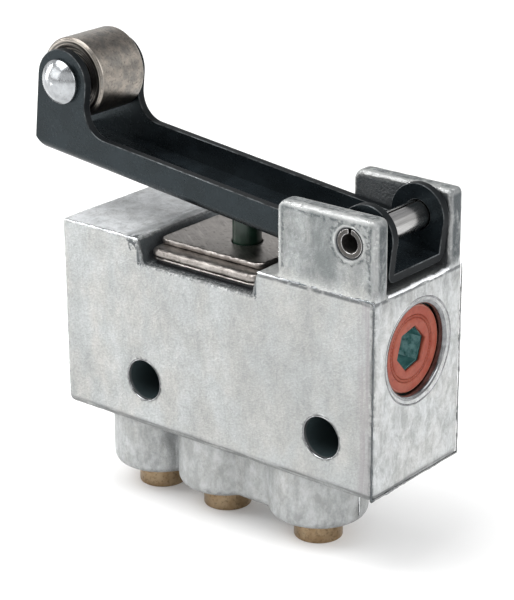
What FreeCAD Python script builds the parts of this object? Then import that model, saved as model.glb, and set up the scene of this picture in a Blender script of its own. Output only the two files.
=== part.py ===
import FreeCAD, Part
import math
import os
import Sketcher

# Miniature three-way limit valve with a roller lever.
# The origin lies midway between the two mounting holes, on the block's middle plane.
# X runs along the block towards the end plug, Y to the back and Z up. Lengths are in millimetres.

SIZES = [
    # Shared by all pieces
    ("small_gap", "0.05"),
    ("cut_margin", "1.0"),
    # Cast block
    ("hole_spacing", "25.4"),
    ("hole_radius", "2.38"),
    ("left_margin", "12.2"),
    ("right_margin", "6.85"),
    ("bottom_margin", "5.8"),
    ("block_height", "22.86"),
    ("block_width", "16.26"),
    ("corner_round", "0.6"),
    ("bottom_round", "0.7"),
    ("top_round", "0.2"),
    ("block_left", "=-hole_spacing / 2 - left_margin"),
    ("block_right", "=hole_spacing / 2 + right_margin"),
    ("block_bottom", "=-bottom_margin"),
    ("block_top", "=block_bottom + block_height"),
    # Port bosses under the block
    ("boss_radius", "5.73"),
    ("boss_drop", "7.86"),
    ("boss_round", "1.0"),
    ("boss_web_width", "7.2"),
    ("first_port_margin", "7.58"),
    ("short_pitch", "10.09"),
    ("long_pitch", "13.46"),
    ("port_one_x", "=block_left + first_port_margin"),
    ("port_two_x", "=port_one_x + short_pitch"),
    ("port_three_x", "=port_two_x + long_pitch"),
    ("boss_bottom", "=block_bottom - boss_drop"),
    # Ears that carry the lever's pivot
    ("ear_length", "13.12"),
    ("ear_height", "8.64"),
    ("ear_ledge", "0.25"),
    ("ear_gap", "11.1"),
    ("ear_front_round", "1.3"),
    ("ear_end_round", "0.8"),
    ("ear_edge_round", "0.55"),
    ("ear_left", "=block_right - ear_length"),
    ("ear_top", "=block_top + ear_height"),
    # Recess in the block's top, with slanted end walls
    ("recess_margin", "11.73"),
    ("recess_length", "17.1"),
    ("recess_slant", "0.78"),
    ("recess_depth", "2.94"),
    ("recess_left", "=block_left + recess_margin"),
    ("recess_right", "=recess_left + recess_length"),
    ("recess_floor", "=block_top - recess_depth"),
    ("recess_floor_left", "=recess_left + recess_slant"),
    ("recess_floor_right", "=recess_right - recess_slant"),
    # Pivot and its slotted spring pin
    ("pivot_margin", "3.56"),
    ("pivot_height", "5.57"),
    ("pin_radius", "1.5875"),
    ("pin_wall", "0.55"),
    ("pin_slit", "0.35"),
    ("pin_setback", "0.15"),
    ("pin_hole_clearance", "0.03"),
    ("pivot_clearance", "0.07"),
    ("pivot_x", "=block_right - pivot_margin"),
    ("pivot_z", "=block_top + pivot_height"),
    # Lever, in its own frame at the pivot: the arm runs to the left and is tilted up
    ("lever_tilt", "6.4"),
    ("lever_width", "10.16"),
    ("lever_back_gap", "0.27"),
    ("sheet_thickness", "1.0"),
    ("bend_radius", "1.25"),
    ("web_drop", "4.45"),
    ("flange_height", "3.73"),
    ("hump_radius", "3.45"),
    ("lever_overhang", "3.4"),
    ("roller_reach", "43.9"),
    ("roller_rise", "4.52"),
    ("head_radius", "3.68"),
    ("toe_chamfer", "1.25"),
    ("neck_round", "3.2"),
    ("lever_back", "=ear_gap / 2 - lever_back_gap"),
    ("lever_front", "=lever_back - lever_width"),
    ("lever_middle", "=lever_back - lever_width / 2"),
    ("channel_width", "=lever_width - 2 * sheet_thickness"),
    ("channel_cut", "=roller_reach + 2 * head_radius"),
    ("head_left", "=-roller_reach - head_radius"),
    ("head_right", "=-roller_reach + head_radius"),
    ("flange_top", "=flange_height - web_drop"),
    ("web_inside", "=sheet_thickness - web_drop"),
    ("roller_x", "=pivot_x - roller_reach * cos(lever_tilt) + roller_rise * sin(lever_tilt)"),
    ("roller_z", "=pivot_z + roller_reach * sin(lever_tilt) + roller_rise * cos(lever_tilt)"),
    # Roller and the rivet that is its axle
    ("roller_radius", "4.72"),
    ("roller_play", "0.88"),
    ("roller_back_gap", "0.15"),
    ("roller_chamfer", "0.3"),
    ("roller_rim", "0.55"),
    ("roller_dish", "0.6"),
    ("roller_hub_radius", "2.7"),
    ("roller_clearance", "0.06"),
    ("rivet_radius", "1.6"),
    ("rivet_head_radius", "2.6"),
    ("rivet_head_rim", "0.45"),
    ("rivet_head_height", "1.2"),
    ("rivet_tail_radius", "2.4"),
    ("rivet_tail_height", "0.9"),
    ("rivet_hole_clearance", "0.02"),
    ("roller_back", "=lever_back - sheet_thickness - roller_back_gap"),
    ("roller_front", "=lever_front + sheet_thickness + roller_play - roller_back_gap"),
    ("rivet_dome", "=(rivet_head_radius ^ 2 + rivet_head_height ^ 2) / (2 * rivet_head_height)"),
    ("rivet_tail_dome", "=(rivet_tail_radius ^ 2 + rivet_tail_height ^ 2) / (2 * rivet_tail_height)"),
    # Plunger under the lever's web
    ("plunger_to_pivot", "19.96"),
    ("plunger_radius", "1.65"),
    ("plunger_crown", "3.0"),
    ("plunger_clearance", "0.08"),
    ("plunger_gap", "0.1"),
    ("plunger_x", "=pivot_x - plunger_to_pivot"),
    ("web_over_plunger", "=pivot_z - web_drop / cos(lever_tilt) + plunger_to_pivot * tan(lever_tilt)"),
    ("stroke", "=web_over_plunger - pivot_z + web_drop"),
    ("crown_centre", "=web_over_plunger - (plunger_crown + plunger_gap) / cos(lever_tilt)"),
    ("plunger_top", "=crown_centre + plunger_crown"),
    ("plunger_shoulder", "=crown_centre + sqrt(plunger_crown ^ 2 - plunger_radius ^ 2)"),
    # Stem bore along the block, in steps that grow towards the end plug
    ("bore_drop", "4.92"),
    ("bore_z", "=recess_floor - bore_drop"),
    ("end_wall", "3.0"),
    ("exhaust_chamber_radius", "3.0"),
    ("outlet_chamber_radius", "3.4"),
    ("inlet_chamber_radius", "3.9"),
    ("exhaust_seat_offset", "4.32"),
    ("inlet_seat_offset", "3.33"),
    ("plug_bore_radius", "5.15"),
    ("plug_bore_depth", "9.6"),
    ("plug_bore_taper", "1.25"),
    ("plug_mouth_radius", "5.8"),
    ("plug_mouth_depth", "0.45"),
    ("passage_radius", "1.5"),
    ("chamber_left", "=block_left + end_wall"),
    ("exhaust_seat_x", "=port_one_x + exhaust_seat_offset"),
    ("inlet_seat_x", "=port_three_x - inlet_seat_offset"),
    ("plug_bore_x", "=block_right - plug_bore_depth"),
    # Seats, poppets and stem
    ("seat_thickness", "1.4"),
    ("seat_clearance", "0.02"),
    ("exhaust_seat_hole", "1.9"),
    ("inlet_seat_hole", "2.4"),
    ("seal_gap", "0.05"),
    ("seal_thickness", "0.6"),
    ("exhaust_seal_radius", "2.55"),
    ("exhaust_poppet_thickness", "1.0"),
    ("inlet_seal_radius", "3.1"),
    ("inlet_poppet_thickness", "1.3"),
    ("stem_radius", "1.9"),
    ("stem_nose_radius", "1.0"),
    ("stem_neck_radius", "1.5"),
    ("stem_spigot_radius", "1.7"),
    ("stem_spigot_length", "1.5"),
    ("guide_gap", "0.4"),
    ("guide_length", "1.6"),
    ("guide_clearance", "0.07"),
    ("guide_slot", "1.6"),
    ("exhaust_seal_lift", "0.12"),
    ("press_clearance", "0.01"),
    ("tang_thickness", "1.2"),
    ("tang_half_width", "1.4"),
    ("tang_end_gap", "0.2"),
    ("tang_shoulder_gap", "0.2"),
    ("tang_slot", "1.4"),
    ("wedge_gap", "0.1"),
    ("slot_end_gap", "0.4"),
    ("tang_tip_depth", "=outlet_chamber_radius - stroke - tang_end_gap"),
    ("tang_top", "=bore_z + stem_radius + stroke + tang_shoulder_gap"),
    ("exhaust_face_x", "=exhaust_seat_x - stroke - exhaust_seal_lift"),
    ("exhaust_end_x", "=exhaust_face_x - seal_thickness - exhaust_poppet_thickness"),
    ("collar_x", "=exhaust_seat_x + seat_thickness + guide_gap"),
    ("collar_radius", "=outlet_chamber_radius - guide_clearance"),
    ("stem_cut", "=2 * stem_radius"),
    ("slot_back", "=-tang_half_width - stroke - slot_end_gap"),
    ("inlet_face_x", "=inlet_seat_x + seat_thickness + seal_gap"),
    ("stem_back_x", "=inlet_face_x + seal_thickness + inlet_poppet_thickness"),
    # End plug with its red face ring
    ("plug_recess", "0.95"),
    ("plug_ring_thickness", "0.5"),
    ("plug_ring_radius", "4.95"),
    ("plug_clearance", "0.05"),
    ("plug_length", "5.9"),
    ("plug_spigot_radius", "1.7"),
    ("plug_spigot_length", "1.0"),
    ("ring_line_radius", "3.45"),
    ("ring_line_width", "0.3"),
    ("ring_line_depth", "0.08"),
    ("hex_across_flats", "4.37"),
    ("hex_turn", "18.0"),
    ("hex_depth", "4.4"),
    ("plug_seal_width", "1.5"),
    ("plug_seal_offset", "0.4"),
    ("plug_seal_wire", "0.55"),
    ("plug_groove_radius", "=plug_bore_radius - 2 * plug_seal_wire - 2 * small_gap"),
    ("hex_corner", "=hex_across_flats / sqrt(3)"),
    ("hex_shoulder", "=hex_corner / 2"),
    ("plug_face_x", "=block_right - plug_recess - plug_ring_thickness"),
    ("plug_inner_x", "=plug_face_x - plug_length"),
    ("plug_groove_x", "=plug_inner_x + plug_seal_offset"),
    # Return spring
    ("spring_wire", "0.5"),
    ("spring_radius", "2.35"),
    ("spring_turns", "4.5"),
    ("spring_end_gap", "0.03"),
    # Stack of plates that guides and seals the plunger
    ("stack_wall_gap", "0.1"),
    ("gasket_thickness", "0.48"),
    ("gasket_setback", "1.6"),
    ("base_plate_thickness", "0.36"),
    ("base_plate_setback", "0.95"),
    ("guide_plate_thickness", "0.98"),
    ("guide_plate_setback", "0.95"),
    ("guide_plate_round", "0.4"),
    ("cover_plate_thickness", "0.68"),
    ("cover_plate_setback", "2.7"),
    ("cover_plate_left_gap", "0.8"),
    ("cover_plate_right_gap", "1.6"),
    ("plate_corner", "1.1"),
    ("plate_gap", "0.01"),
    ("plunger_seal_wire", "0.42"),
    ("base_plate_z", "=recess_floor + gasket_thickness"),
    ("guide_plate_z", "=base_plate_z + base_plate_thickness"),
    ("cover_plate_z", "=guide_plate_z + guide_plate_thickness"),
    ("plunger_hole", "=plunger_radius + plunger_clearance"),
    ("plunger_seal_pocket", "=plunger_hole + 2 * plunger_seal_wire"),
    # Push-in tube ports, the same three times
    ("tube_bore_radius", "2.06"),
    ("cartridge_radius", "4.0"),
    ("tube_stop_depth", "0.8"),
    ("tube_stop_radius", "2.2"),
    ("collet_radius", "2.8"),
    ("collet_reach", "2.94"),
    ("collet_side_gap", "0.15"),
    ("collet_travel", "0.9"),
    ("collet_end_gap", "0.35"),
    ("collet_jaw_rise", "0.5"),
    ("collet_jaw_length", "1.0"),
    ("collet_jaw_taper", "0.9"),
    ("collet_slit", "0.5"),
    ("collet_slit_length", "3.6"),
    ("sleeve_recess", "0.26"),
    ("sleeve_mouth_length", "2.4"),
    ("sleeve_taper_length", "1.8"),
    ("jaw_seat_gap", "0.02"),
    ("jaw_side_gap", "0.2"),
    ("backing_thickness", "0.7"),
    ("collet_jaw_radius", "=collet_radius + collet_jaw_rise"),
    ("sleeve_mouth_radius", "=collet_radius + collet_side_gap"),
    ("sleeve_inside_radius", "=collet_jaw_radius + jaw_side_gap"),
    ("sleeve_slope", "=sleeve_taper_length / (sleeve_inside_radius - sleeve_mouth_radius)"),
    ("sleeve_bottom", "=boss_bottom + sleeve_recess"),
    ("taper_bottom", "=sleeve_bottom + sleeve_mouth_length"),
    ("taper_top", "=taper_bottom + sleeve_taper_length"),
    ("collet_bottom", "=boss_bottom - collet_reach"),
    ("jaw_full_z", "=taper_bottom + (collet_jaw_radius - sleeve_mouth_radius) * sleeve_slope + jaw_seat_gap"),
    ("jaw_bottom", "=jaw_full_z - collet_jaw_taper"),
    ("collet_top", "=jaw_full_z + collet_jaw_length"),
    ("sleeve_top", "=collet_top + collet_travel + collet_end_gap"),
    ("backing_bottom", "=sleeve_top + small_gap"),
    ("backing_top", "=backing_bottom + backing_thickness"),
    ("tube_seal_wire", "=(cartridge_radius - small_gap - tube_bore_radius) / 2"),
    ("tube_seal_z", "=backing_top + small_gap + tube_seal_wire"),
    ("shoulder_z", "=tube_seal_z + tube_seal_wire + small_gap"),
]

doc = FreeCAD.newDocument("LimitValve")
sheet = doc.addObject("Spreadsheet::Sheet", "Sizes")
for row, (alias, content) in enumerate(SIZES, 1):
    sheet.set("A%d" % row, alias)
    sheet.set("B%d" % row, content)
    sheet.setAlias("B%d" % row, alias)
doc.recompute()

PARTS = []


def measure(text):
    """Present value of a sum of cells and numbers, such as 'block_top + ear_height / 2'."""
    total = 0.0
    sign = 1.0
    term = None
    action = ""
    for word in text.split() + ["+"]:
        if word in ("+", "-"):
            if term is not None:
                total += sign * term
            sign = 1.0 if word == "+" else -1.0
            term = None
            continue
        if word in ("*", "/"):
            action = word
            continue
        number = float(sheet.get(word)) if word.isidentifier() else float(word)
        if action == "*":
            number = term * number
        elif action == "/":
            number = term / number
        term = number
        action = ""
    return total


def bound(text):
    """The same sum as an expression on the sheet."""
    return " ".join("Sizes." + word if word.isidentifier() else word for word in text.split())


def new_body(label, x="0", z="0", y="0"):
    """An empty body, in the block's middle plane unless y says otherwise."""
    body = doc.addObject("PartDesign::Body", label)
    body.Label = label
    for letter, text in (("x", x), ("y", y), ("z", z)):
        body.setExpression("Placement.Base." + letter, bound(text))
    PARTS.append(body)
    return body


def new_sketch(body, role, x="0", y="0", lift="0"):
    """A sketch on one of the body's own planes, moved within the plane and along its normal."""
    plane = [item for item in body.Origin.OriginFeatures if item.Role == role][0]
    sketch = body.newObject("Sketcher::SketchObject", body.Name + "_sketch")
    sketch.AttachmentSupport = (plane, [""])
    sketch.MapMode = "FlatFace"
    for letter, text in (("x", x), ("y", y), ("z", lift)):
        sketch.setExpression("AttachmentOffset.Base." + letter, bound(text))
    return sketch


def pin_down(sketch, side, end, x, y):
    """Ties one end point of a sketch element to coordinates from the sheet."""
    for kind, text in (("DistanceX", x), ("DistanceY", y)):
        number = sketch.addConstraint(Sketcher.Constraint(kind, -1, 1, side, end, measure(text)))
        sketch.setExpression("Constraints[%d]" % number, bound(text))


def set_radius(sketch, side, radius):
    """Ties the radius of an arc or circle to the sheet."""
    number = sketch.addConstraint(Sketcher.Constraint("Radius", side, measure(radius)))
    sketch.setExpression("Constraints[%d]" % number, bound(radius))


def outline(sketch, corners, arcs=None):
    """A closed outline. arcs maps a side's number to (radius, turn), turn 1 for anticlockwise."""
    arcs = arcs or {}
    points = [FreeCAD.Vector(measure(x), measure(y), 0) for x, y in corners]
    first = sketch.GeometryCount
    ends = []
    for number, start in enumerate(points):
        end = points[(number + 1) % len(points)]
        if number not in arcs:
            sketch.addGeometry(Part.LineSegment(start, end))
            ends.append((1, 2))
            continue
        radius = measure(arcs[number][0])
        turn = arcs[number][1]
        half_chord = (end - start).Length / 2
        across = FreeCAD.Vector(start.y - end.y, end.x - start.x, 0).normalize()
        centre = (start + end) / 2 + across * turn * math.sqrt(radius ** 2 - half_chord ** 2)
        angles = [math.atan2(point.y - centre.y, point.x - centre.x) for point in (start, end)]
        circle = Part.Circle(centre, FreeCAD.Vector(0, 0, 1), radius)
        sketch.addGeometry(Part.ArcOfCircle(circle, *angles[::turn]))
        ends.append((1, 2)[::turn])
    for number, corner in enumerate(corners):
        following = (number + 1) % len(corners)
        side = first + number
        joint = Sketcher.Constraint("Coincident", side, ends[number][1], first + following, ends[following][0])
        sketch.addConstraint(joint)
        pin_down(sketch, side, ends[number][0], *corner)
        if number in arcs:
            set_radius(sketch, side, arcs[number][0])


def box_outline(sketch, left, bottom, right, top):
    outline(sketch, [(left, bottom), (right, bottom), (right, top), (left, top)])


def round_outline(sketch, x, y, radius):
    centre = FreeCAD.Vector(measure(x), measure(y), 0)
    circle = sketch.addGeometry(Part.Circle(centre, FreeCAD.Vector(0, 0, 1), measure(radius)))
    pin_down(sketch, circle, 3, x, y)
    set_radius(sketch, circle, radius)


def settle(feature):
    """Recomputes and stops on a feature that failed."""
    doc.recompute()
    if "Invalid" in feature.State or "Error" in feature.State or feature.Shape.isNull():
        raise ValueError("%s failed" % feature.Name)
    return feature


def extrude(kind, body, sketch, length, symmetric=False, reverse=False):
    """Pad or Pocket of a sketch. A pocket that removes nothing is an error."""
    before = body.Tip.Shape.Volume if body.Tip else 0.0
    feature = body.newObject("PartDesign::" + kind, body.Name + "_" + kind.lower())
    feature.Profile = sketch
    feature.SideType = "Symmetric" if symmetric else "One side"
    feature.Reversed = reverse
    feature.setExpression("Length", bound(length))
    settle(feature)
    if kind == "Pocket" and feature.Shape.Volume > before - 1e-6:
        raise ValueError("a pocket of %s cuts nothing" % body.Label)
    return feature


def pad(body, sketch, length, symmetric=False, reverse=False):
    return extrude("Pad", body, sketch, length, symmetric, reverse)


def pocket(body, sketch, length, symmetric=False, reverse=False):
    return extrude("Pocket", body, sketch, length, symmetric, reverse)


def revolve(kind, body, sketch, axis):
    """Revolution or Groove of a sketch by a full turn. A groove that removes nothing is an error."""
    before = body.Tip.Shape.Volume if body.Tip else 0.0
    feature = body.newObject("PartDesign::" + kind, body.Name + "_" + kind.lower())
    feature.Profile = sketch
    feature.ReferenceAxis = (sketch, [axis])
    feature.Angle = 360
    settle(feature)
    if kind == "Groove" and feature.Shape.Volume > before - 1e-6:
        raise ValueError("a groove of %s cuts nothing" % body.Label)
    return feature


def dress(kind, body, size, wanted):
    """Fillet or Chamfer on the edges of the body that the wanted test picks."""
    base = body.Tip
    names = ["Edge%d" % number for number, edge in enumerate(base.Shape.Edges, 1) if wanted(edge)]
    if not names:
        raise ValueError("no edge to dress on %s" % body.Label)
    feature = body.newObject("PartDesign::" + kind, body.Name + "_" + kind.lower())
    feature.Base = (base, names)
    feature.setExpression("Radius" if kind == "Fillet" else "Size", bound(size))
    return settle(feature)


def lies_along(edge, letter):
    """True for a straight edge that runs along the axis x, y or z."""
    if len(edge.Vertexes) != 2:
        return False
    run = edge.Vertexes[1].Point - edge.Vertexes[0].Point
    return abs(getattr(run, letter)) > 0.9999 * edge.Length


def near(number, text):
    return abs(number - measure(text)) < 1e-4


def crosses_at(edge, x, z):
    """True for a straight edge along Y that passes through x and z."""
    return lies_along(edge, "y") and near(edge.CenterOfMass.x, x) and near(edge.CenterOfMass.z, z)


def level_at(edge, z):
    """True for an edge that lies flat at the height z."""
    return near(edge.BoundBox.ZMin, z) and near(edge.BoundBox.ZMax, z)


def rims_an_ear(edge):
    """True for an edge of an ear's inner or outer face, but not where it meets the block."""
    box = edge.BoundBox
    flat = box.YLength < 1e-6
    beside = near(abs(box.YMin), "ear_gap / 2") or near(abs(box.YMin), "block_width / 2 - ear_ledge")
    return flat and beside and box.ZMax > measure("block_top") + 1e-4


def turned(label, axis_name, corners, arcs=None, x="0", z="0"):
    """A turned piece. An upright one has corners (radius, height); a lengthwise one, along X,
    and a crosswise one, along Y, have corners (distance, radius)."""
    role, axis = {
        "upright": ("XZ_Plane", "V_Axis"),
        "lengthwise": ("XZ_Plane", "H_Axis"),
        "crosswise": ("YZ_Plane", "H_Axis"),
    }[axis_name]
    body = new_body(label, x, z)
    sketch = new_sketch(body, role)
    outline(sketch, corners, arcs)
    revolve("Revolution", body, sketch, axis)
    return body


def tube(label, axis_name, start, end, inside, outside, x="0", z="0"):
    """A plain ring from start to end along its axis."""
    corners = [(inside, start), (outside, start), (outside, end), (inside, end)]
    if axis_name != "upright":
        corners = [(along, radius) for radius, along in corners]
    turned(label, axis_name, corners, None, x, z)


PORTS = [("1", "port_one_x"), ("2", "port_two_x"), ("3", "port_three_x")]


def make_ears():
    """The two ears with rounded rims. Their foot, which joins them, lies inside the block."""
    body = doc.addObject("PartDesign::Body", "ears")
    side = new_sketch(body, "XZ_Plane")
    box_outline(side, "ear_left", "block_top - 2 * cut_margin", "block_right", "ear_top")
    pad(body, side, "block_width - 2 * ear_ledge", symmetric=True)
    dress("Fillet", body, "ear_front_round", lambda edge: crosses_at(edge, "ear_left", "ear_top"))
    dress("Fillet", body, "ear_end_round", lambda edge: crosses_at(edge, "block_right", "ear_top"))
    gap = new_sketch(body, "XZ_Plane")
    gap_floor = "block_top - cut_margin"
    box_outline(gap, "ear_left - cut_margin", gap_floor, "block_right + cut_margin", "ear_top + cut_margin")
    pocket(body, gap, "ear_gap", symmetric=True)
    dress("Fillet", body, "ear_edge_round", rims_an_ear)
    return body


def make_valve_body():
    """Die casting: block, three port bosses, two ears, the stem bore and the ports."""
    ears = make_ears()
    body = new_body("valve_body")
    base = new_sketch(body, "XY_Plane", lift="block_bottom")
    box_outline(base, "block_left", "0 - block_width / 2", "block_right", "block_width / 2")
    pad(body, base, "block_height")
    dress("Fillet", body, "corner_round", lambda edge: lies_along(edge, "z"))
    dress("Fillet", body, "bottom_round", lambda edge: near(edge.CenterOfMass.z, "block_bottom"))

    for number, port_x in PORTS:
        circle = new_sketch(body, "XY_Plane", lift="block_bottom + bottom_round")
        round_outline(circle, port_x, "0", "boss_radius")
        pad(body, circle, "boss_drop + bottom_round", reverse=True)
    web = new_sketch(body, "XY_Plane", lift="block_bottom + bottom_round")
    box_outline(web, "port_two_x", "0 - boss_web_width / 2", "port_three_x", "boss_web_width / 2")
    pad(body, web, "boss_drop + bottom_round", reverse=True)
    dress("Fillet", body, "boss_round", lambda edge: level_at(edge, "boss_bottom"))
    dress("Fillet", body, "top_round", lambda edge: level_at(edge, "block_top"))

    union = body.newObject("PartDesign::Boolean", "valve_body_union")
    union.setObjects([ears])
    union.Type = "Fuse"
    settle(union)

    recess = new_sketch(body, "XZ_Plane")
    outline(
        recess,
        [
            ("recess_floor_left", "recess_floor"),
            ("recess_floor_right", "recess_floor"),
            ("recess_right", "block_top"),
            ("recess_right", "block_top + cut_margin"),
            ("recess_left", "block_top + cut_margin"),
            ("recess_left", "block_top"),
        ],
    )
    pocket(body, recess, "block_width + cut_margin", symmetric=True)

    holes = new_sketch(body, "XZ_Plane")
    round_outline(holes, "0 - hole_spacing / 2", "0", "hole_radius")
    round_outline(holes, "hole_spacing / 2", "0", "hole_radius")
    pocket(body, holes, "block_width + cut_margin", symmetric=True)
    pivot = new_sketch(body, "XZ_Plane")
    round_outline(pivot, "pivot_x", "pivot_z", "pin_radius + pin_hole_clearance")
    pocket(body, pivot, "block_width + cut_margin", symmetric=True)

    bore = new_sketch(body, "XZ_Plane", y="bore_z")
    outline(
        bore,
        [
            ("chamber_left", "0"),
            ("block_right + cut_margin", "0"),
            ("block_right + cut_margin", "plug_mouth_radius"),
            ("block_right", "plug_mouth_radius"),
            ("block_right - plug_mouth_depth", "plug_bore_radius"),
            ("plug_bore_x", "plug_bore_radius"),
            ("plug_bore_x - plug_bore_taper", "inlet_chamber_radius"),
            ("inlet_seat_x", "inlet_chamber_radius"),
            ("inlet_seat_x", "outlet_chamber_radius"),
            ("exhaust_seat_x", "outlet_chamber_radius"),
            ("exhaust_seat_x", "exhaust_chamber_radius"),
            ("chamber_left", "exhaust_chamber_radius"),
        ],
    )
    revolve("Groove", body, bore, "H_Axis")

    for number, port_x in PORTS:
        port = new_sketch(body, "XZ_Plane", x=port_x)
        outline(
            port,
            [
                ("0", "boss_bottom - cut_margin"),
                ("cartridge_radius", "boss_bottom - cut_margin"),
                ("cartridge_radius", "shoulder_z"),
                ("tube_stop_radius", "shoulder_z"),
                ("tube_stop_radius", "shoulder_z + tube_stop_depth"),
                ("passage_radius", "shoulder_z + tube_stop_depth"),
                ("passage_radius", "bore_z"),
                ("0", "bore_z"),
            ],
        )
        revolve("Groove", body, port, "V_Axis")

    plunger_hole = new_sketch(body, "XY_Plane", lift="bore_z")
    round_outline(plunger_hole, "plunger_x", "0", "plunger_hole")
    pocket(body, plunger_hole, "recess_floor - bore_z + cut_margin", reverse=True)


def make_pivot_pin():
    """Slotted spring pin, rolled from strip, with its slit facing up."""
    body = new_body("pivot_pin", "pivot_x", "pivot_z")
    ring = new_sketch(body, "XZ_Plane")
    round_outline(ring, "0", "0", "pin_radius")
    round_outline(ring, "0", "0", "pin_radius - pin_wall")
    pad(body, ring, "block_width - 2 * ear_ledge - 2 * pin_setback", symmetric=True)
    slit = new_sketch(body, "XZ_Plane")
    box_outline(slit, "0 - pin_slit / 2", "0", "pin_slit / 2", "pin_radius + cut_margin")
    pocket(body, slit, "block_width", symmetric=True)


def make_lever_arm():
    """Channel pressed from black steel sheet: web below, flanges up, a head at the roller."""
    body = new_body("lever_arm", "pivot_x", "pivot_z", "lever_middle")
    body.Placement = FreeCAD.Placement(body.Placement.Base, FreeCAD.Rotation(FreeCAD.Vector(0, 1, 0), 1))
    body.setExpression("Placement.Rotation.Angle", "Sizes.lever_tilt")

    side = new_sketch(body, "XZ_Plane")
    outline(
        side,
        [
            ("lever_overhang", "0 - web_drop"),
            ("lever_overhang", "0"),
            ("0", "0"),
            ("0", "flange_top"),
            ("head_right", "flange_top"),
            ("head_right", "roller_rise"),
            ("head_left", "roller_rise"),
            ("head_left", "toe_chamfer - web_drop"),
            ("head_left + toe_chamfer", "0 - web_drop"),
        ],
    )
    pad(body, side, "lever_width", symmetric=True)
    dress("Fillet", body, "neck_round", lambda edge: crosses_at(edge, "head_right", "flange_top"))
    for x, z, radius in (("0", "0", "hump_radius"), ("0 - roller_reach", "roller_rise", "head_radius")):
        disc = new_sketch(body, "XZ_Plane")
        round_outline(disc, x, z, radius)
        pad(body, disc, "lever_width", symmetric=True)
    web_corners = lambda edge: lies_along(edge, "x") and level_at(edge, "0 - web_drop")
    dress("Fillet", body, "bend_radius", web_corners)

    channel = new_sketch(body, "XZ_Plane")
    box_outline(channel, "0 - channel_cut", "web_inside", "channel_cut", "channel_cut")
    pocket(body, channel, "channel_width", symmetric=True)
    holes = new_sketch(body, "XZ_Plane")
    round_outline(holes, "0", "0", "pin_radius + pivot_clearance")
    round_outline(holes, "0 - roller_reach", "roller_rise", "rivet_radius + rivet_hole_clearance")
    pocket(body, holes, "lever_width + cut_margin", symmetric=True)


def make_roller():
    """Turned steel roller with chamfered rims and dished ends."""
    turned(
        "roller",
        "crosswise",
        [
            ("roller_front + roller_dish", "rivet_radius + roller_clearance"),
            ("roller_front + roller_dish", "roller_hub_radius"),
            ("roller_front", "roller_radius - roller_chamfer - roller_rim"),
            ("roller_front", "roller_radius - roller_chamfer"),
            ("roller_front + roller_chamfer", "roller_radius"),
            ("roller_back - roller_chamfer", "roller_radius"),
            ("roller_back", "roller_radius - roller_chamfer"),
            ("roller_back", "roller_radius - roller_chamfer - roller_rim"),
            ("roller_back - roller_dish", "roller_hub_radius"),
            ("roller_back - roller_dish", "rivet_radius + roller_clearance"),
        ],
        None,
        "roller_x",
        "roller_z",
    )


def make_roller_rivet():
    """Solid rivet with a domed head in front and a flatter formed head behind."""
    turned(
        "roller_rivet",
        "crosswise",
        [
            ("lever_front - rivet_head_rim - rivet_head_height", "0"),
            ("lever_back + rivet_tail_height", "0"),
            ("lever_back", "rivet_tail_radius"),
            ("lever_back", "rivet_radius"),
            ("lever_front", "rivet_radius"),
            ("lever_front", "rivet_head_radius"),
            ("lever_front - rivet_head_rim", "rivet_head_radius"),
        ],
        {1: ("rivet_tail_dome", 1), 6: ("rivet_dome", 1)},
        "roller_x",
        "roller_z",
    )


def make_plunger():
    """Moulded plunger: crowned top under the web, flat tang with a 45 degree wedge below."""
    body = turned(
        "plunger",
        "upright",
        [
            ("0", "tang_top"),
            ("plunger_radius", "tang_top"),
            ("plunger_radius", "plunger_shoulder"),
            ("0", "plunger_top"),
        ],
        {2: ("plunger_crown", 1)},
        "plunger_x",
    )
    tang = new_sketch(body, "XZ_Plane")
    outline(
        tang,
        [
            ("0 - tang_half_width", "bore_z - tang_tip_depth"),
            ("0 - tang_tip_depth", "bore_z - tang_tip_depth"),
            ("tang_half_width", "bore_z + tang_half_width"),
            ("tang_half_width", "tang_top + small_gap"),
            ("0 - tang_half_width", "tang_top + small_gap"),
        ],
    )
    pad(body, tang, "tang_thickness", symmetric=True)


def make_poppet_stem():
    """Stem through both seats, with a guide collar, the slot for the wedge and the inlet poppet."""
    body = turned(
        "poppet_stem",
        "lengthwise",
        [
            ("exhaust_end_x", "0"),
            ("stem_back_x + stem_spigot_length", "0"),
            ("stem_back_x + stem_spigot_length", "stem_spigot_radius"),
            ("stem_back_x", "stem_spigot_radius"),
            ("stem_back_x", "inlet_seal_radius"),
            ("inlet_face_x + seal_thickness", "inlet_seal_radius"),
            ("inlet_face_x + seal_thickness", "stem_neck_radius"),
            ("plunger_x + stem_cut", "stem_neck_radius"),
            ("plunger_x + stem_cut", "stem_radius"),
            ("collar_x + guide_length", "stem_radius"),
            ("collar_x + guide_length", "collar_radius"),
            ("collar_x", "collar_radius"),
            ("collar_x", "stem_nose_radius"),
            ("exhaust_end_x", "stem_nose_radius"),
        ],
        None,
        "0",
        "bore_z",
    )
    slot = new_sketch(body, "XZ_Plane", x="plunger_x")
    outline(
        slot,
        [
            ("slot_back", "0 - stem_cut"),
            ("wedge_gap - stem_cut", "0 - stem_cut"),
            ("wedge_gap + stem_cut", "stem_cut"),
            ("slot_back", "stem_cut"),
        ],
    )
    pocket(body, slot, "tang_slot", symmetric=True)
    for role in ("XY_Plane", "XZ_Plane"):
        for low, high in (("stem_radius", "stem_cut"), ("0 - stem_cut", "0 - stem_radius")):
            flute = new_sketch(body, role, x="collar_x")
            box_outline(flute, "0 - small_gap", low, "guide_length + small_gap", high)
            pocket(body, flute, "guide_slot", symmetric=True)


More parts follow.
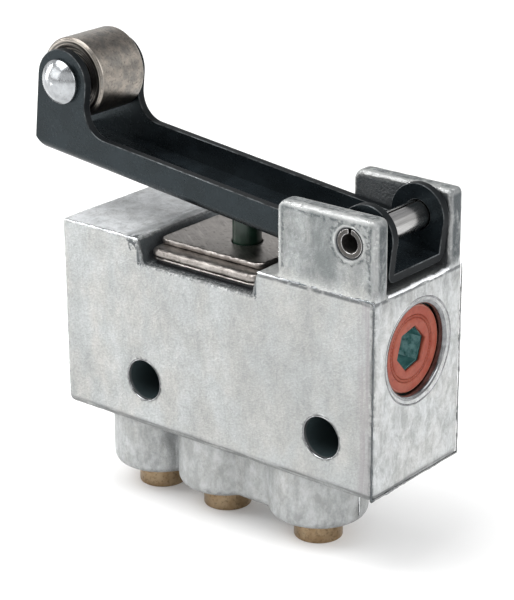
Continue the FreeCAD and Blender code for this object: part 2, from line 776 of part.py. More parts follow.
def make_seats_and_seals():
    """Brass seat rings pressed into the stem bore, and the rubber faces that close on them."""
    tube(
        "exhaust_seat", "lengthwise", "exhaust_seat_x", "exhaust_seat_x + seat_thickness",
        "exhaust_seat_hole", "outlet_chamber_radius - seat_clearance", "0", "bore_z",
    )
    tube(
        "inlet_seat", "lengthwise", "inlet_seat_x", "inlet_seat_x + seat_thickness",
        "inlet_seat_hole", "inlet_chamber_radius - seat_clearance", "0", "bore_z",
    )
    tube(
        "inlet_seal", "lengthwise", "inlet_face_x", "inlet_face_x + seal_thickness",
        "stem_neck_radius + press_clearance", "inlet_seal_radius", "0", "bore_z",
    )
    tube(
        "exhaust_seal", "lengthwise", "exhaust_face_x - seal_thickness", "exhaust_face_x",
        "stem_nose_radius + press_clearance", "exhaust_seal_radius", "0", "bore_z",
    )
    tube(
        "exhaust_poppet", "lengthwise", "exhaust_end_x", "exhaust_face_x - seal_thickness",
        "stem_nose_radius + press_clearance", "exhaust_seal_radius", "0", "bore_z",
    )


def make_end_plug():
    """Screw plug with a hexagon socket, its O-ring and the red ring on its face."""
    body = turned(
        "end_plug",
        "lengthwise",
        [
            ("plug_inner_x - plug_spigot_length", "0"),
            ("plug_face_x", "0"),
            ("plug_face_x", "plug_bore_radius - plug_clearance"),
            ("plug_groove_x + plug_seal_width", "plug_bore_radius - plug_clearance"),
            ("plug_groove_x + plug_seal_width", "plug_groove_radius"),
            ("plug_groove_x", "plug_groove_radius"),
            ("plug_groove_x", "plug_bore_radius - plug_clearance"),
            ("plug_inner_x", "plug_bore_radius - plug_clearance"),
            ("plug_inner_x", "plug_spigot_radius"),
            ("plug_inner_x - plug_spigot_length", "plug_spigot_radius"),
        ],
        None,
        "0",
        "bore_z",
    )
    cut_hexagon(body, "plug_face_x", "hex_depth", False)
    seal = doc.addObject("Part::Torus", "plug_o_ring")
    seal.setExpression("Radius1", bound("plug_bore_radius - plug_seal_wire - small_gap"))
    seal.setExpression("Radius2", bound("plug_seal_wire"))
    seal.Placement = FreeCAD.Placement(FreeCAD.Vector(), FreeCAD.Rotation(FreeCAD.Vector(0, 1, 0), 90))
    seal.setExpression("Placement.Base.x", bound("plug_groove_x + plug_seal_width / 2"))
    seal.setExpression("Placement.Base.z", bound("bore_z"))
    PARTS.append(seal)

    ring = new_body("plug_face_ring", "0", "bore_z")
    disc = new_sketch(ring, "YZ_Plane", lift="plug_face_x")
    round_outline(disc, "0", "0", "plug_ring_radius")
    pad(ring, disc, "plug_ring_thickness")
    cut_hexagon(ring, "plug_face_x", "plug_ring_thickness + cut_margin", True)
    line = new_sketch(ring, "YZ_Plane", lift="plug_face_x + plug_ring_thickness")
    round_outline(line, "0", "0", "ring_line_radius")
    round_outline(line, "0", "0", "ring_line_radius + ring_line_width")
    pocket(ring, line, "ring_line_depth")


def cut_hexagon(body, x, depth, outward):
    """Hexagon socket sunk along X from the plane at x, turned as the plug happens to stop."""
    doc.recompute()
    sketch = new_sketch(body, "YZ_Plane", lift=x)
    turn = FreeCAD.Rotation(FreeCAD.Vector(0, 0, -1), 1)
    sketch.AttachmentOffset = FreeCAD.Placement(sketch.AttachmentOffset.Base, turn)
    sketch.setExpression("AttachmentOffset.Rotation.Angle", bound("hex_turn"))
    half = "hex_across_flats / 2"
    outline(
        sketch,
        [
            ("0", "hex_corner"),
            ("0 - " + half, "hex_shoulder"),
            ("0 - " + half, "0 - hex_shoulder"),
            ("0", "0 - hex_corner"),
            (half, "0 - hex_shoulder"),
            (half, "hex_shoulder"),
        ],
    )
    pocket(body, sketch, depth, reverse=outward)


def make_return_spring():
    """Compression spring between the inlet poppet and the end plug."""
    body = new_body("return_spring", "stem_back_x + spring_wire / 2 + spring_end_gap", "bore_z")
    body.Placement = FreeCAD.Placement(body.Placement.Base, FreeCAD.Rotation(FreeCAD.Vector(0, 1, 0), 90))
    wire = new_sketch(body, "XZ_Plane")
    round_outline(wire, "spring_radius", "0", "spring_wire / 2")
    coil = body.newObject("PartDesign::AdditiveHelix", "return_spring_coil")
    coil.Profile = wire
    coil.ReferenceAxis = (wire, ["V_Axis"])
    coil.Mode = "height-turns-growth"
    coil.setExpression("Height", bound("plug_inner_x - stem_back_x - spring_wire - 2 * spring_end_gap"))
    coil.setExpression("Turns", bound("spring_turns"))
    doc.recompute()


def make_plate(label, bottom, thickness, left, right, setback, hole):
    """Flat plate in the recess with rounded corners and a hole for the plunger."""
    body = new_body(label)
    sketch = new_sketch(body, "XY_Plane", lift=bottom)
    box_outline(sketch, left, "0 - block_width / 2 + " + setback, right, "block_width / 2 - " + setback)
    pad(body, sketch, thickness)
    dress("Fillet", body, "plate_corner", lambda edge: lies_along(edge, "z"))
    eye = new_sketch(body, "XY_Plane", lift=bottom)
    round_outline(eye, "plunger_x", "0", hole)
    pocket(body, eye, thickness, reverse=True)
    return body


def make_plate_stack():
    """Gasket, base plate, thick guide plate with rolled edges and the smaller cover plate."""
    floor_left = "recess_floor_left + stack_wall_gap"
    floor_right = "recess_floor_right - stack_wall_gap"
    cover_left = "recess_left + cover_plate_left_gap"
    cover_right = "recess_right - cover_plate_right_gap"
    guide_top = "cover_plate_z - plate_gap"
    stack = (
        ("recess_gasket", "recess_floor", "gasket", floor_left, floor_right, "plunger_hole"),
        ("base_plate", "base_plate_z", "base_plate", floor_left, floor_right, "plunger_hole"),
        ("guide_plate", "guide_plate_z", "guide_plate", floor_left, floor_right, "plunger_seal_pocket"),
        ("cover_plate", "cover_plate_z", "cover_plate", cover_left, cover_right, "plunger_hole"),
    )
    for label, bottom, sizes, left, right, hole in stack:
        thickness = sizes + "_thickness - plate_gap"
        plate = make_plate(label, bottom, thickness, left, right, sizes + "_setback", hole)
        if label == "guide_plate":
            rim = lambda edge: level_at(edge, guide_top) and not near(edge.CenterOfMass.x, "plunger_x")
            dress("Fillet", plate, "guide_plate_round", rim)
    seal = doc.addObject("Part::Torus", "plunger_seal")
    seal.setExpression("Radius1", bound("plunger_hole + plunger_seal_wire"))
    seal.setExpression("Radius2", bound("plunger_seal_wire"))
    seal.setExpression("Placement.Base.x", bound("plunger_x"))
    seal.setExpression("Placement.Base.z", bound("guide_plate_z + guide_plate_thickness / 2"))
    PARTS.append(seal)


def make_port(number, port_x):
    """One push-in tube port: retaining sleeve, collet with jaws, backing ring and O-ring."""
    turned(
        "port_sleeve_" + number,
        "upright",
        [
            ("sleeve_mouth_radius", "sleeve_bottom"),
            ("cartridge_radius - press_clearance", "sleeve_bottom"),
            ("cartridge_radius - press_clearance", "sleeve_top"),
            ("sleeve_inside_radius", "sleeve_top"),
            ("sleeve_inside_radius", "taper_top"),
            ("sleeve_mouth_radius", "taper_bottom"),
        ],
        None,
        port_x,
    )
    collet = turned(
        "collet_" + number,
        "upright",
        [
            ("tube_bore_radius", "collet_bottom"),
            ("collet_radius", "collet_bottom"),
            ("collet_radius", "jaw_bottom"),
            ("collet_jaw_radius", "jaw_full_z"),
            ("collet_jaw_radius", "collet_top"),
            ("tube_bore_radius", "collet_top"),
        ],
        None,
        port_x,
    )
    for role in ("XZ_Plane", "YZ_Plane"):
        slit = new_sketch(collet, role)
        slit_bottom = "collet_top - collet_slit_length"
        box_outline(slit, "0 - collet_slit / 2", slit_bottom, "collet_slit / 2", "collet_top + cut_margin")
        pocket(collet, slit, "4 * collet_jaw_radius", symmetric=True)
    tube(
        "backing_ring_" + number, "upright", "backing_bottom", "backing_top",
        "tube_stop_radius", "cartridge_radius - press_clearance", port_x,
    )
    seal = doc.addObject("Part::Torus", "tube_o_ring_" + number)
    seal.setExpression("Radius1", bound("cartridge_radius - tube_seal_wire - small_gap"))
    seal.setExpression("Radius2", bound("tube_seal_wire"))
    seal.setExpression("Placement.Base.x", bound(port_x))
    seal.setExpression("Placement.Base.z", bound("tube_seal_z"))
    PARTS.append(seal)


make_valve_body()
make_pivot_pin()
make_plate_stack()
make_end_plug()
make_seats_and_seals()
make_return_spring()
for port_number, port_place in PORTS:
    make_port(port_number, port_place)
make_lever_arm()
make_roller_rivet()
make_roller()
make_plunger()
make_poppet_stem()
doc.recompute()

for item in doc.Objects:
    if "Invalid" in item.State or "Error" in item.State:
        raise ValueError("%s failed: %s" % (item.Label, item.State))
for part in PARTS:
    if part.Shape.isNull() or not part.Shape.isValid() or part.Shape.Volume < 1e-6:
        raise ValueError("%s has no valid shape" % part.Label)

os.makedirs("parts", exist_ok=True)
for part in PARTS:
    part.Shape.exportStep("parts/%s.step" % part.Label)
    print("%-16s solids %d volume %9.3f" % (part.Label, len(part.Shape.Solids), part.Shape.Volume))
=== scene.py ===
import math

import bmesh
import bpy
import numpy as np
from mathutils import Matrix, Vector
from mathutils import noise as mathutils_noise


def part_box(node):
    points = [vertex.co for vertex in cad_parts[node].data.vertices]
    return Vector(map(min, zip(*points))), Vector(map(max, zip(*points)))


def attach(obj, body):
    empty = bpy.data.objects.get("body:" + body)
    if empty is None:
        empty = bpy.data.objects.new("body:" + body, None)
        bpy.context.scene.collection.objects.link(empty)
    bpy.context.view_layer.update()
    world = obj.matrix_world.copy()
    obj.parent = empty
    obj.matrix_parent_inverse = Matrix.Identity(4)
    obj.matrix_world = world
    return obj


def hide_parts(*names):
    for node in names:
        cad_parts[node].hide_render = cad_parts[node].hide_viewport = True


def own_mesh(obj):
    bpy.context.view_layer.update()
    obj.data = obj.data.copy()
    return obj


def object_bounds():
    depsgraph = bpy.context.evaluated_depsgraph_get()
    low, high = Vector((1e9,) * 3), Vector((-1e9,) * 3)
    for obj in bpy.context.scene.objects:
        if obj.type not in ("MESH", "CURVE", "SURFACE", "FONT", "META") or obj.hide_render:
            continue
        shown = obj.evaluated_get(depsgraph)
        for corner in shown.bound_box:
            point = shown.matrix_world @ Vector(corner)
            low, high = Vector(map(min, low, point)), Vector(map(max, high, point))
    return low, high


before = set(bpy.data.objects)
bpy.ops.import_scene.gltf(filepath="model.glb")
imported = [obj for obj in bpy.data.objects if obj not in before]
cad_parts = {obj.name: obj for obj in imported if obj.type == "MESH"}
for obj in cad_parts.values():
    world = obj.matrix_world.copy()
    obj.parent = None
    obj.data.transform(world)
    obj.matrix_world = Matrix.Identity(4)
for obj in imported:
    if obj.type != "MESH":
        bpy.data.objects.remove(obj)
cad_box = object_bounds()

# Valve body.
# One pressure die casting in a grey alloy: block, three round port bosses and two ears.
# It is left as cast, so its skin is satin and mottled, and trimming has polished its edges. Its colour also
# carries painted shade and painted highlights.

BLOCK_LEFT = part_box("valve_body")[0][0]
BLOCK_RIGHT, BLOCK_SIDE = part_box("valve_body")[1][:2]
BLOCK_TOP = 0.01706
PIVOT = (0.01599, 0.02263)
TORN_CORNER = (-0.0139, -0.0079, 0.0166)
ALLOY_COOL = (0.54, 0.562, 0.562, 1)
ALLOY_WARM = (0.575, 0.57, 0.545, 1)
ALLOY_STAIN_AND_SHADE = (0.32, 0.33, 0.325, 1)
ALLOY_SPECK_AND_SHADE = (0.17, 0.175, 0.175, 1)
ALLOY_EAR = (0.165, 0.180, 0.180, 1)
ALLOY_EAR_END = (0.060, 0.070, 0.075, 1)
ALLOY_FOOT_SHADE = (0.12, 0.125, 0.125, 1)
ALLOY_PALE = (0.86, 0.88, 0.90, 1)
ALLOY_DRAG = (0.30, 0.285, 0.29, 1)
ALLOY_EDGE = (0.76, 0.77, 0.76, 1)
ALLOY_GRIME_AND_SHADE = (0.05, 0.055, 0.06, 1)
CLOUD_SHARE = 0.9
FROST_SHARE = 1.35
MOTTLE_AMOUNT = 0.41
SPECK_AMOUNT = 0.36
LIP_UNEVENNESS = 0.0003
TEAR_UNEVENNESS = 0.0005
TEAR_REACH = (0.0007, 0.0011)
PIN_GAP_REACH = (0.00195, 0.00172)
EDGE_ROUGHNESS = 0.18
PORE_HEIGHT = 1.2
DENT_HEIGHT = 10.0
CASTING_GRID = 0.00018
CASTING_SMOOTHING = 4
OUTER_EDGE_SMOOTHING = 8
OUTER_EDGE_BAND = 0.0007
OUTER_EDGE_FADE = 1.5
CASTING_WAVE_SIZE = 0.0016
CASTING_WAVE_HEIGHT = 0.00007
CASTING_FACES_KEPT = 0.3
MERGE_DISTANCE = 1e-7
SOFTEN_STEP = 0.5
SHARPNESS_SPREAD = 2
MIDDLES_APART = 0.667
MM_PER_METRE = 1000.0

# Where on the casting a mask starts and where it is full, in metres along one axis.
SHADED_END_X = (-0.008, 0.006)
END_FACE_X = (0.0191, 0.0194)
UNDER_RIDGE_Z = (0.0135, 0.0160)
CORNER_X = (0.0171, 0.0184)
CORNER_Y = (-0.0079, -0.0081)
CORNER_Z = (0.0172, 0.0168)
BOSSES_X = (0.0, 0.005)
BOSS_Z = (-0.0060, -0.0066)
BOSS_STAIN_Z = (-0.0056, -0.0066)
BOSS_LOW_Z = (-0.0080, -0.0127)
BOSS_SHADE_Z = (-0.0060, -0.0064)
FOOT_UNDER_Z = (-0.0047, -0.0051)
FOOT_OVER_Z = (-0.0063, -0.0060)
LEFT_TOP_X = (-0.0133, -0.0136)
LEFT_TOP_Z = (0.0167, 0.0169)
LIP_SHADOW_X = (-0.0160, -0.0138)
LINE_X = (0.0036, 0.0040)
LINE_OVER_Z = (0.01635, 0.01655)
LINE_UNDER_Z = (0.0169, 0.0168)
RECESS_FROM_X = (-0.0134, -0.0132)
RECESS_TO_X = (0.0040, 0.0038)
RECESS_Z = (0.0139, 0.0141)
EARS_X = (0.0060, 0.0063)
EARS_Z = (0.0170, 0.0185)
EAR_ENDS_X = (0.0186, 0.0193)
REAR_EAR_Y = (0.0, 0.005)
EAR_INSIDE_Y = (0.0060, 0.00575)
EAR_INSIDE_OVER_Z = (0.0168, 0.0174)
EAR_INSIDE_UNDER_Z = (0.0252, 0.0248)
BRIGHT_EDGES_X = (0.0193, 0.0188)
BRIGHT_EDGES_Z = (-0.0052, -0.0040)


def new_material(name):
    """A material with an empty tree but for its Principled shader, and both of them."""
    material = bpy.data.materials.new(name)
    material.use_nodes = True
    tree = material.node_tree
    tree.nodes.clear()
    shader = tree.nodes.new("ShaderNodeBsdfPrincipled")
    output = tree.nodes.new("ShaderNodeOutputMaterial")
    tree.links.new(shader.outputs["BSDF"], output.inputs["Surface"])
    return material, tree, shader


def feed(tree, node, socket, value):
    """Gives a node's input a plain value or the output of another node."""
    if isinstance(value, bpy.types.NodeSocket):
        tree.links.new(value, node.inputs[socket])
    else:
        node.inputs[socket].default_value = value


def add_node(tree, kind, inputs=None, **settings):
    """Adds a shader node with its settings and inputs."""
    node = tree.nodes.new("ShaderNode" + kind)
    for setting, value in settings.items():
        setattr(node, setting, value)
    for socket, value in (inputs or {}).items():
        feed(tree, node, socket, value)
    return node


def blend_colours(tree, amount, first, second):
    """Mixes two colours by an amount and gives the mixed colour's socket."""
    return add_node(tree, "Mix", {0: amount, 6: first, 7: second}, data_type="RGBA").outputs[2]


def blend_values(tree, amount, first, second):
    """Mixes two values by an amount and gives the mixed value's socket."""
    return add_node(tree, "Mix", {0: amount, 2: first, 3: second}, data_type="FLOAT").outputs[0]


def layered(tree, tone, *layers):
    """Lays colours over a tone in turn. Each layer is a mask and its colour."""
    for mask, colour in layers:
        tone = blend_colours(tree, mask, tone, colour)
    return tone


def remap(tree, value, start, end, at_start=0.0, at_end=1.0):
    """A ramp from one value at start to another at end, held beyond them."""
    inputs = {"Value": value, "From Min": start, "From Max": end, "To Min": at_start, "To Max": at_end}
    return add_node(tree, "MapRange", inputs).outputs["Result"]


def arithmetic(tree, operation, first, second):
    """A Math node on two values or sockets."""
    return add_node(tree, "Math", {0: first, 1: second}, operation=operation).outputs[0]


def product(tree, first, *others):
    """The product of masks or values."""
    for other in others:
        first = arithmetic(tree, "MULTIPLY", first, other)
    return first


def coordinates(tree):
    """The place on the piece, and its x, y and z."""
    place = add_node(tree, "TexCoord").outputs["Object"]
    return place, *add_node(tree, "SeparateXYZ", {"Vector": place}).outputs


def stretched(tree, place, factors):
    """A place with its axes scaled. A pattern on it is drawn out along the axes with a small factor."""
    return add_node(tree, "VectorMath", {0: place, 1: factors}, operation="MULTIPLY").outputs["Vector"]


def noise(tree, place, size, detail=2.0, roughness=0.5, distortion=0.0):
    """Noise with features of about a size in millimetres, which may be a socket."""
    if isinstance(size, bpy.types.NodeSocket):
        scale = arithmetic(tree, "DIVIDE", MM_PER_METRE, size)
    else:
        scale = MM_PER_METRE / size
    inputs = {
        "Vector": place,
        "Scale": scale,
        "Detail": detail,
        "Roughness": roughness,
        "Distortion": distortion,
    }
    return add_node(tree, "TexNoise", inputs).outputs["Fac"]


def openness(tree, distance, samples=6):
    """How open a place is, from 0 to 1. Only what lies within the distance closes it in."""
    return add_node(tree, "AmbientOcclusion", {"Distance": distance}, samples=samples).outputs["AO"]


def bump(tree, shader, height, strength, distance):
    """Feeds a height into the shader's normal through a bump."""
    node = add_node(tree, "Bump", {"Height": height, "Strength": strength, "Distance": distance})
    feed(tree, shader, "Normal", node.outputs["Normal"])


cast_skin, tree, shader = new_material("cast_skin")
place, x, y, z = coordinates(tree)

# The cooled metal: clouds, frost and crystals in a light grey, with painted shade that darkens it towards the
# end face.
drawn_down = stretched(tree, place, (1, 1, 0.6))
clouds = remap(tree, noise(tree, drawn_down, size=7.0), 0.35, 0.65)
frost = remap(tree, noise(tree, drawn_down, size=1.5, detail=7.0, roughness=0.80, distortion=0.4), 0.36, 0.64)
crystals = remap(tree, noise(tree, place, size=0.30, detail=3.0, roughness=0.7), 0.36, 0.64)
tint = remap(tree, noise(tree, drawn_down, size=3.2, detail=3.0, roughness=0.55), 0.40, 0.60)
cloudy = arithmetic(tree, "ADD", product(tree, clouds, CLOUD_SHARE), product(tree, frost, FROST_SHARE))
tone = layered(
    tree,
    blend_colours(tree, tint, ALLOY_COOL, ALLOY_WARM),
    (product(tree, cloudy, MOTTLE_AMOUNT), ALLOY_STAIN_AND_SHADE),
    (product(tree, crystals, SPECK_AMOUNT), ALLOY_SPECK_AND_SHADE),
    (remap(tree, x, *SHADED_END_X, at_end=0.20), ALLOY_STAIN_AND_SHADE),
)

# The end face: painted light on it, broken by frost, dark under the ridge between the ears, and drag lines at
# its front corner.
under_ridge = product(tree, remap(tree, x, *END_FACE_X, at_end=0.5), remap(tree, z, *UNDER_RIDGE_Z))
frosted = remap(tree, frost, 0.2, 0.8, at_start=1.0, at_end=0.15)
lit_end_face = product(tree, remap(tree, x, *END_FACE_X, at_end=0.34), frosted)
drawn_up = stretched(tree, place, (1, 1, 0.04))
drag_lines = remap(tree, noise(tree, drawn_up, size=0.35), 0.35, 0.60, at_start=0.15, at_end=0.9)
at_corner = product(tree, remap(tree, x, *CORNER_X), remap(tree, y, *CORNER_Y), remap(tree, z, *CORNER_Z))
tone = layered(
    tree,
    tone,
    (under_ridge, ALLOY_SPECK_AND_SHADE),
    (lit_end_face, ALLOY_PALE),
    (product(tree, drag_lines, at_corner), ALLOY_DRAG),
)

# The bosses: painted shade low down, stained and dripped, with painted glints, and painted shade in a band
# round the block's foot.
on_boss = remap(tree, z, *BOSS_Z)
towards_end = remap(tree, x, *BOSSES_X, at_start=0.45)
low_boss_shade = remap(tree, z, *BOSS_LOW_Z, at_end=0.52)
stained = product(tree, remap(tree, z, *BOSS_STAIN_Z), remap(tree, frost, 0.0, 1.0, at_end=0.35))
drips = remap(tree, noise(tree, drawn_up, size=1.3, detail=3.0, roughness=0.55), 0.40, 0.62, at_end=0.7)
glints = remap(tree, noise(tree, drawn_down, size=1.1, detail=5.0, roughness=0.7), 0.42, 0.66, at_end=0.30)
# Painted shade along the block's rounded bottom edge, broken into lines.
drawn_round = stretched(tree, place, (0.08, 0.08, 1))
foot_shade_lines = remap(tree, noise(tree, drawn_round, size=0.35), 0.38, 0.58, at_start=0.35, at_end=0.9)
foot_shade = product(tree, remap(tree, z, *FOOT_UNDER_Z), remap(tree, z, *FOOT_OVER_Z))
tone = layered(
    tree,
    tone,
    (product(tree, low_boss_shade, towards_end), ALLOY_SPECK_AND_SHADE),
    (product(tree, drips, on_boss), ALLOY_STAIN_AND_SHADE),
    (product(tree, stained, towards_end), ALLOY_STAIN_AND_SHADE),
    (product(tree, glints, on_boss), ALLOY_PALE),
    (product(tree, foot_shade_lines, foot_shade), ALLOY_FOOT_SHADE),
)

# The top: painted light left of the recess, a painted shadow band by the recess's lip, a painted shadow line
# under the top edges right of the recess, and painted shade in the recess.
on_left_top = product(tree, remap(tree, z, *LEFT_TOP_Z), remap(tree, x, *LEFT_TOP_X))
top_light_amount = remap(tree, frost, 0.0, 1.0, at_start=1.0, at_end=0.35)
across_top = stretched(tree, place, (1, 0.12, 1))
lip_shadow_noise = noise(tree, across_top, size=0.8, detail=3.0, roughness=0.6)
lip_shadow_lines = remap(tree, lip_shadow_noise, 0.36, 0.60, at_start=0.25)
line_height = product(tree, remap(tree, z, *LINE_OVER_Z, at_end=0.8), remap(tree, z, *LINE_UNDER_Z))
line_breaks = remap(tree, noise(tree, place, size=0.9), 0.35, 0.50, at_start=0.2)
lip_unevenness = remap(tree, crystals, 0.0, 1.0, at_start=-LIP_UNEVENNESS, at_end=LIP_UNEVENNESS)
lip_height = arithmetic(tree, "ADD", z, lip_unevenness)
in_recess = product(tree, remap(tree, x, *RECESS_FROM_X, at_end=0.97), remap(tree, x, *RECESS_TO_X))
tone = layered(
    tree,
    tone,
    (product(tree, on_left_top, top_light_amount), ALLOY_PALE),
    (product(tree, on_left_top, remap(tree, x, *LIP_SHADOW_X, at_end=0.85), lip_shadow_lines), ALLOY_EAR_END),
    (product(tree, line_height, remap(tree, x, *LINE_X), line_breaks), ALLOY_GRIME_AND_SHADE),
    (product(tree, in_recess, remap(tree, lip_height, *RECESS_Z)), ALLOY_EAR_END),
)

# The ears: darker than the block, darkest on their ends, with painted shade on their inner sides.
over_top = product(tree, remap(tree, z, *EARS_Z), remap(tree, x, *EARS_X))
uneven = remap(tree, arithmetic(tree, "ADD", frost, clouds), 0.3, 1.6, at_start=0.25)
on_ears = product(tree, over_top, uneven)
rear_stronger = remap(tree, y, *REAR_EAR_Y, at_start=1.0, at_end=1.7)
on_ends = product(tree, on_ears, remap(tree, x, *EAR_ENDS_X), rear_stronger)
ear_height = product(tree, remap(tree, z, *EAR_INSIDE_UNDER_Z), remap(tree, z, *EAR_INSIDE_OVER_Z))
inward = remap(tree, arithmetic(tree, "ABSOLUTE", y, 0.0), *EAR_INSIDE_Y)
shade_between_ears = product(tree, remap(tree, x, *EARS_X, at_end=0.85), ear_height, inward)
tone = layered(tree, tone, (on_ears, ALLOY_EAR), (on_ends, ALLOY_EAR_END), (shade_between_ears, ALLOY_GRIME_AND_SHADE))

# The edges: polished in crumbs where they stand out and painted paler there as highlight, less so low down
# and on the end face; painted shade on them between the crumbs, dark beside the ear rims, and torn at one
# corner.
edge_sharpness = add_node(tree, "Attribute", attribute_name="edge_sharpness").outputs["Fac"]
fine_crumbs = remap(tree, noise(tree, place, size=0.55, detail=4.0, roughness=0.7), 0.42, 0.60)
crumbs = product(tree, fine_crumbs, remap(tree, noise(tree, place, size=3.0), 0.40, 0.58, at_start=0.25))
unbroken = arithmetic(tree, "MAXIMUM", crumbs, remap(tree, over_top, 0.0, 1.0, at_end=0.55))
edge_mask = product(
    tree,
    remap(tree, edge_sharpness, 0.7, 2.0, at_end=0.9),
    unbroken,
    remap(tree, z, *BRIGHT_EDGES_Z, at_start=0.3),
    remap(tree, over_top, 0.0, 1.0, at_start=0.4),
    remap(tree, x, *BRIGHT_EDGES_X, at_start=0.5),
)
edge_shade = product(tree, remap(tree, edge_sharpness, 0.8, 2.2, at_end=0.7), remap(tree, crumbs, 0.6, 0.0))
rim_breaks = remap(tree, noise(tree, place, size=0.5, detail=3.0, roughness=0.6), 0.42, 0.54, at_end=0.8)
beside_rim = product(tree, remap(tree, edge_sharpness, 0.10, 0.30), remap(tree, edge_sharpness, 0.80, 0.45), over_top, rim_breaks)
from_tear = add_node(tree, "VectorMath", {0: place, 1: TORN_CORNER}, operation="DISTANCE").outputs["Value"]
tear_noise = noise(tree, place, size=0.7, detail=3.0, roughness=0.6)
unevenness = remap(tree, tear_noise, 0.3, 0.7, at_start=-TEAR_UNEVENNESS, at_end=TEAR_UNEVENNESS)
ragged = arithmetic(tree, "ADD", from_tear, unevenness)
tear_breaks = remap(tree, noise(tree, place, size=0.45), 0.52, 0.58, at_start=1.0, at_end=0.15)
torn = product(tree, remap(tree, ragged, *TEAR_REACH, at_start=0.95, at_end=0.0), tear_breaks)
tone = layered(
    tree,
    tone,
    (torn, ALLOY_EAR_END),
    (beside_rim, ALLOY_EAR_END),
    (edge_shade, ALLOY_SPECK_AND_SHADE),
    (edge_mask, ALLOY_EDGE),
)

# Painted shade: round the pin's gap, in crevices, between the bosses and wherever the block is closed in.
pivot = (PIVOT[0], 0, PIVOT[1])
off_pivot = add_node(tree, "VectorMath", {0: place, 1: pivot}, operation="SUBTRACT").outputs["Vector"]
off_axis = stretched(tree, off_pivot, (1, 0, 1))
from_pivot = add_node(tree, "VectorMath", {0: off_axis}, operation="LENGTH").outputs["Value"]
wide_open = openness(tree, distance=0.005, samples=8)
between_bosses = product(tree, remap(tree, wide_open, 0.80, 0.45, at_end=0.6), remap(tree, z, *BOSS_SHADE_Z))
closed_in = arithmetic(tree, "MAXIMUM", remap(tree, wide_open, 0.70, 0.25, at_end=0.85), between_bosses)
tone = layered(
    tree,
    tone,
    (remap(tree, from_pivot, *PIN_GAP_REACH, at_end=0.92), ALLOY_GRIME_AND_SHADE),
    (remap(tree, openness(tree, distance=0.0006), 0.80, 0.45, at_end=0.9), ALLOY_GRIME_AND_SHADE),
    (closed_in, ALLOY_GRIME_AND_SHADE),
)
satin = remap(tree, frost, 0.0, 1.0, at_start=0.36, at_end=0.50)
feed(tree, shader, "Base Color", tone)
feed(tree, shader, "Metallic", remap(tree, edge_mask, 0.0, 1.0, at_start=0.5))
feed(tree, shader, "Roughness", blend_values(tree, edge_mask, satin, EDGE_ROUGHNESS))
pores = arithmetic(tree, "ADD", product(tree, frost, PORE_HEIGHT), crystals)
dents = product(tree, noise(tree, place, size=0.55), edge_mask, DENT_HEIGHT)
bump(tree, shader, arithmetic(tree, "ADD", pores, dents), strength=0.6, distance=0.00006)


def point_links(mesh):
    """The mesh's edges as pairs of point numbers."""
    links = np.empty(len(mesh.edges) * 2, np.int64)
    mesh.edges.foreach_get("vertices", links)
    return links.reshape(-1, 2)


def soften(points, links, rounds, share):
    """Moves each point towards the middle of its neighbours, by a share of 0 to 1 for all or for each."""
    first, second = links[:, 0], links[:, 1]
    count = len(points)
    neighbours = np.bincount(first, minlength=count) + np.bincount(second, minlength=count)
    for _ in range(rounds):
        for axis in range(3):
            line = points[:, axis]
            total = np.bincount(first, line[second], count) + np.bincount(second, line[first], count)
            points[:, axis] = line + SOFTEN_STEP * share * (total / neighbours - line)


def clean_copy(node, name, body):
    """A copy of a node's solid as an object of its own. It stands for the node and rides on the body."""
    work = bmesh.new()
    work.from_mesh(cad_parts[node].data)
    bmesh.ops.remove_doubles(work, verts=work.verts, dist=MERGE_DISTANCE)
    mesh = bpy.data.meshes.new(name)
    work.to_mesh(mesh)
    work.free()
    piece = bpy.data.objects.new(name, mesh)
    bpy.context.scene.collection.objects.link(piece)
    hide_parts(node)
    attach(piece, body)
    return piece


def settle(piece):
    """Applies the piece's modifiers to its mesh."""
    mesh = bpy.data.meshes.new_from_object(piece.evaluated_get(bpy.context.evaluated_depsgraph_get()))
    piece.modifiers.clear()
    piece.data = mesh
    return mesh


def mark_edge_sharpness(mesh):
    """Stores how sharply each point stands out, in 1/mm, as the mesh's edge_sharpness. Hollows are below
    zero.
    """
    work = bmesh.new()
    work.from_mesh(mesh)
    edge_sharpness = np.zeros(len(mesh.vertices))
    hollow = np.zeros(len(mesh.vertices))
    for edge in work.edges:
        if not edge.is_manifold:
            continue
        one, other = edge.link_faces
        width = (one.calc_area() + other.calc_area()) * MIDDLES_APART / edge.calc_length()
        bend = edge.calc_face_angle_signed() / (width * MM_PER_METRE)
        for vertex in edge.verts:
            edge_sharpness[vertex.index] = max(edge_sharpness[vertex.index], bend)
            hollow[vertex.index] = min(hollow[vertex.index], bend)
    work.free()
    both = np.where(edge_sharpness > -hollow, edge_sharpness, hollow)
    spread = np.stack([both, both, both], axis=1)
    soften(spread, point_links(mesh), SHARPNESS_SPREAD, 1.0)
    layer = mesh.attributes.new("edge_sharpness", "FLOAT", "POINT")
    layer.data.foreach_set("value", spread[:, 0].astype(np.float32))


def near_outer_edges(points):
    """How near points are to the block's outer edges, from 0 to 1: each lies on two of its outer planes."""
    x, y, z = points.T
    from_side = np.abs(np.abs(y) - BLOCK_SIDE)
    depths = np.stack([np.abs(x - BLOCK_LEFT), np.abs(x - BLOCK_RIGHT), from_side, np.abs(z - BLOCK_TOP)])
    second_nearest = np.sort(depths, axis=0)[1]
    nearness = np.clip(OUTER_EDGE_FADE - second_nearest / OUTER_EDGE_BAND, 0, 1)
    return nearness * (z < BLOCK_TOP + OUTER_EDGE_BAND)


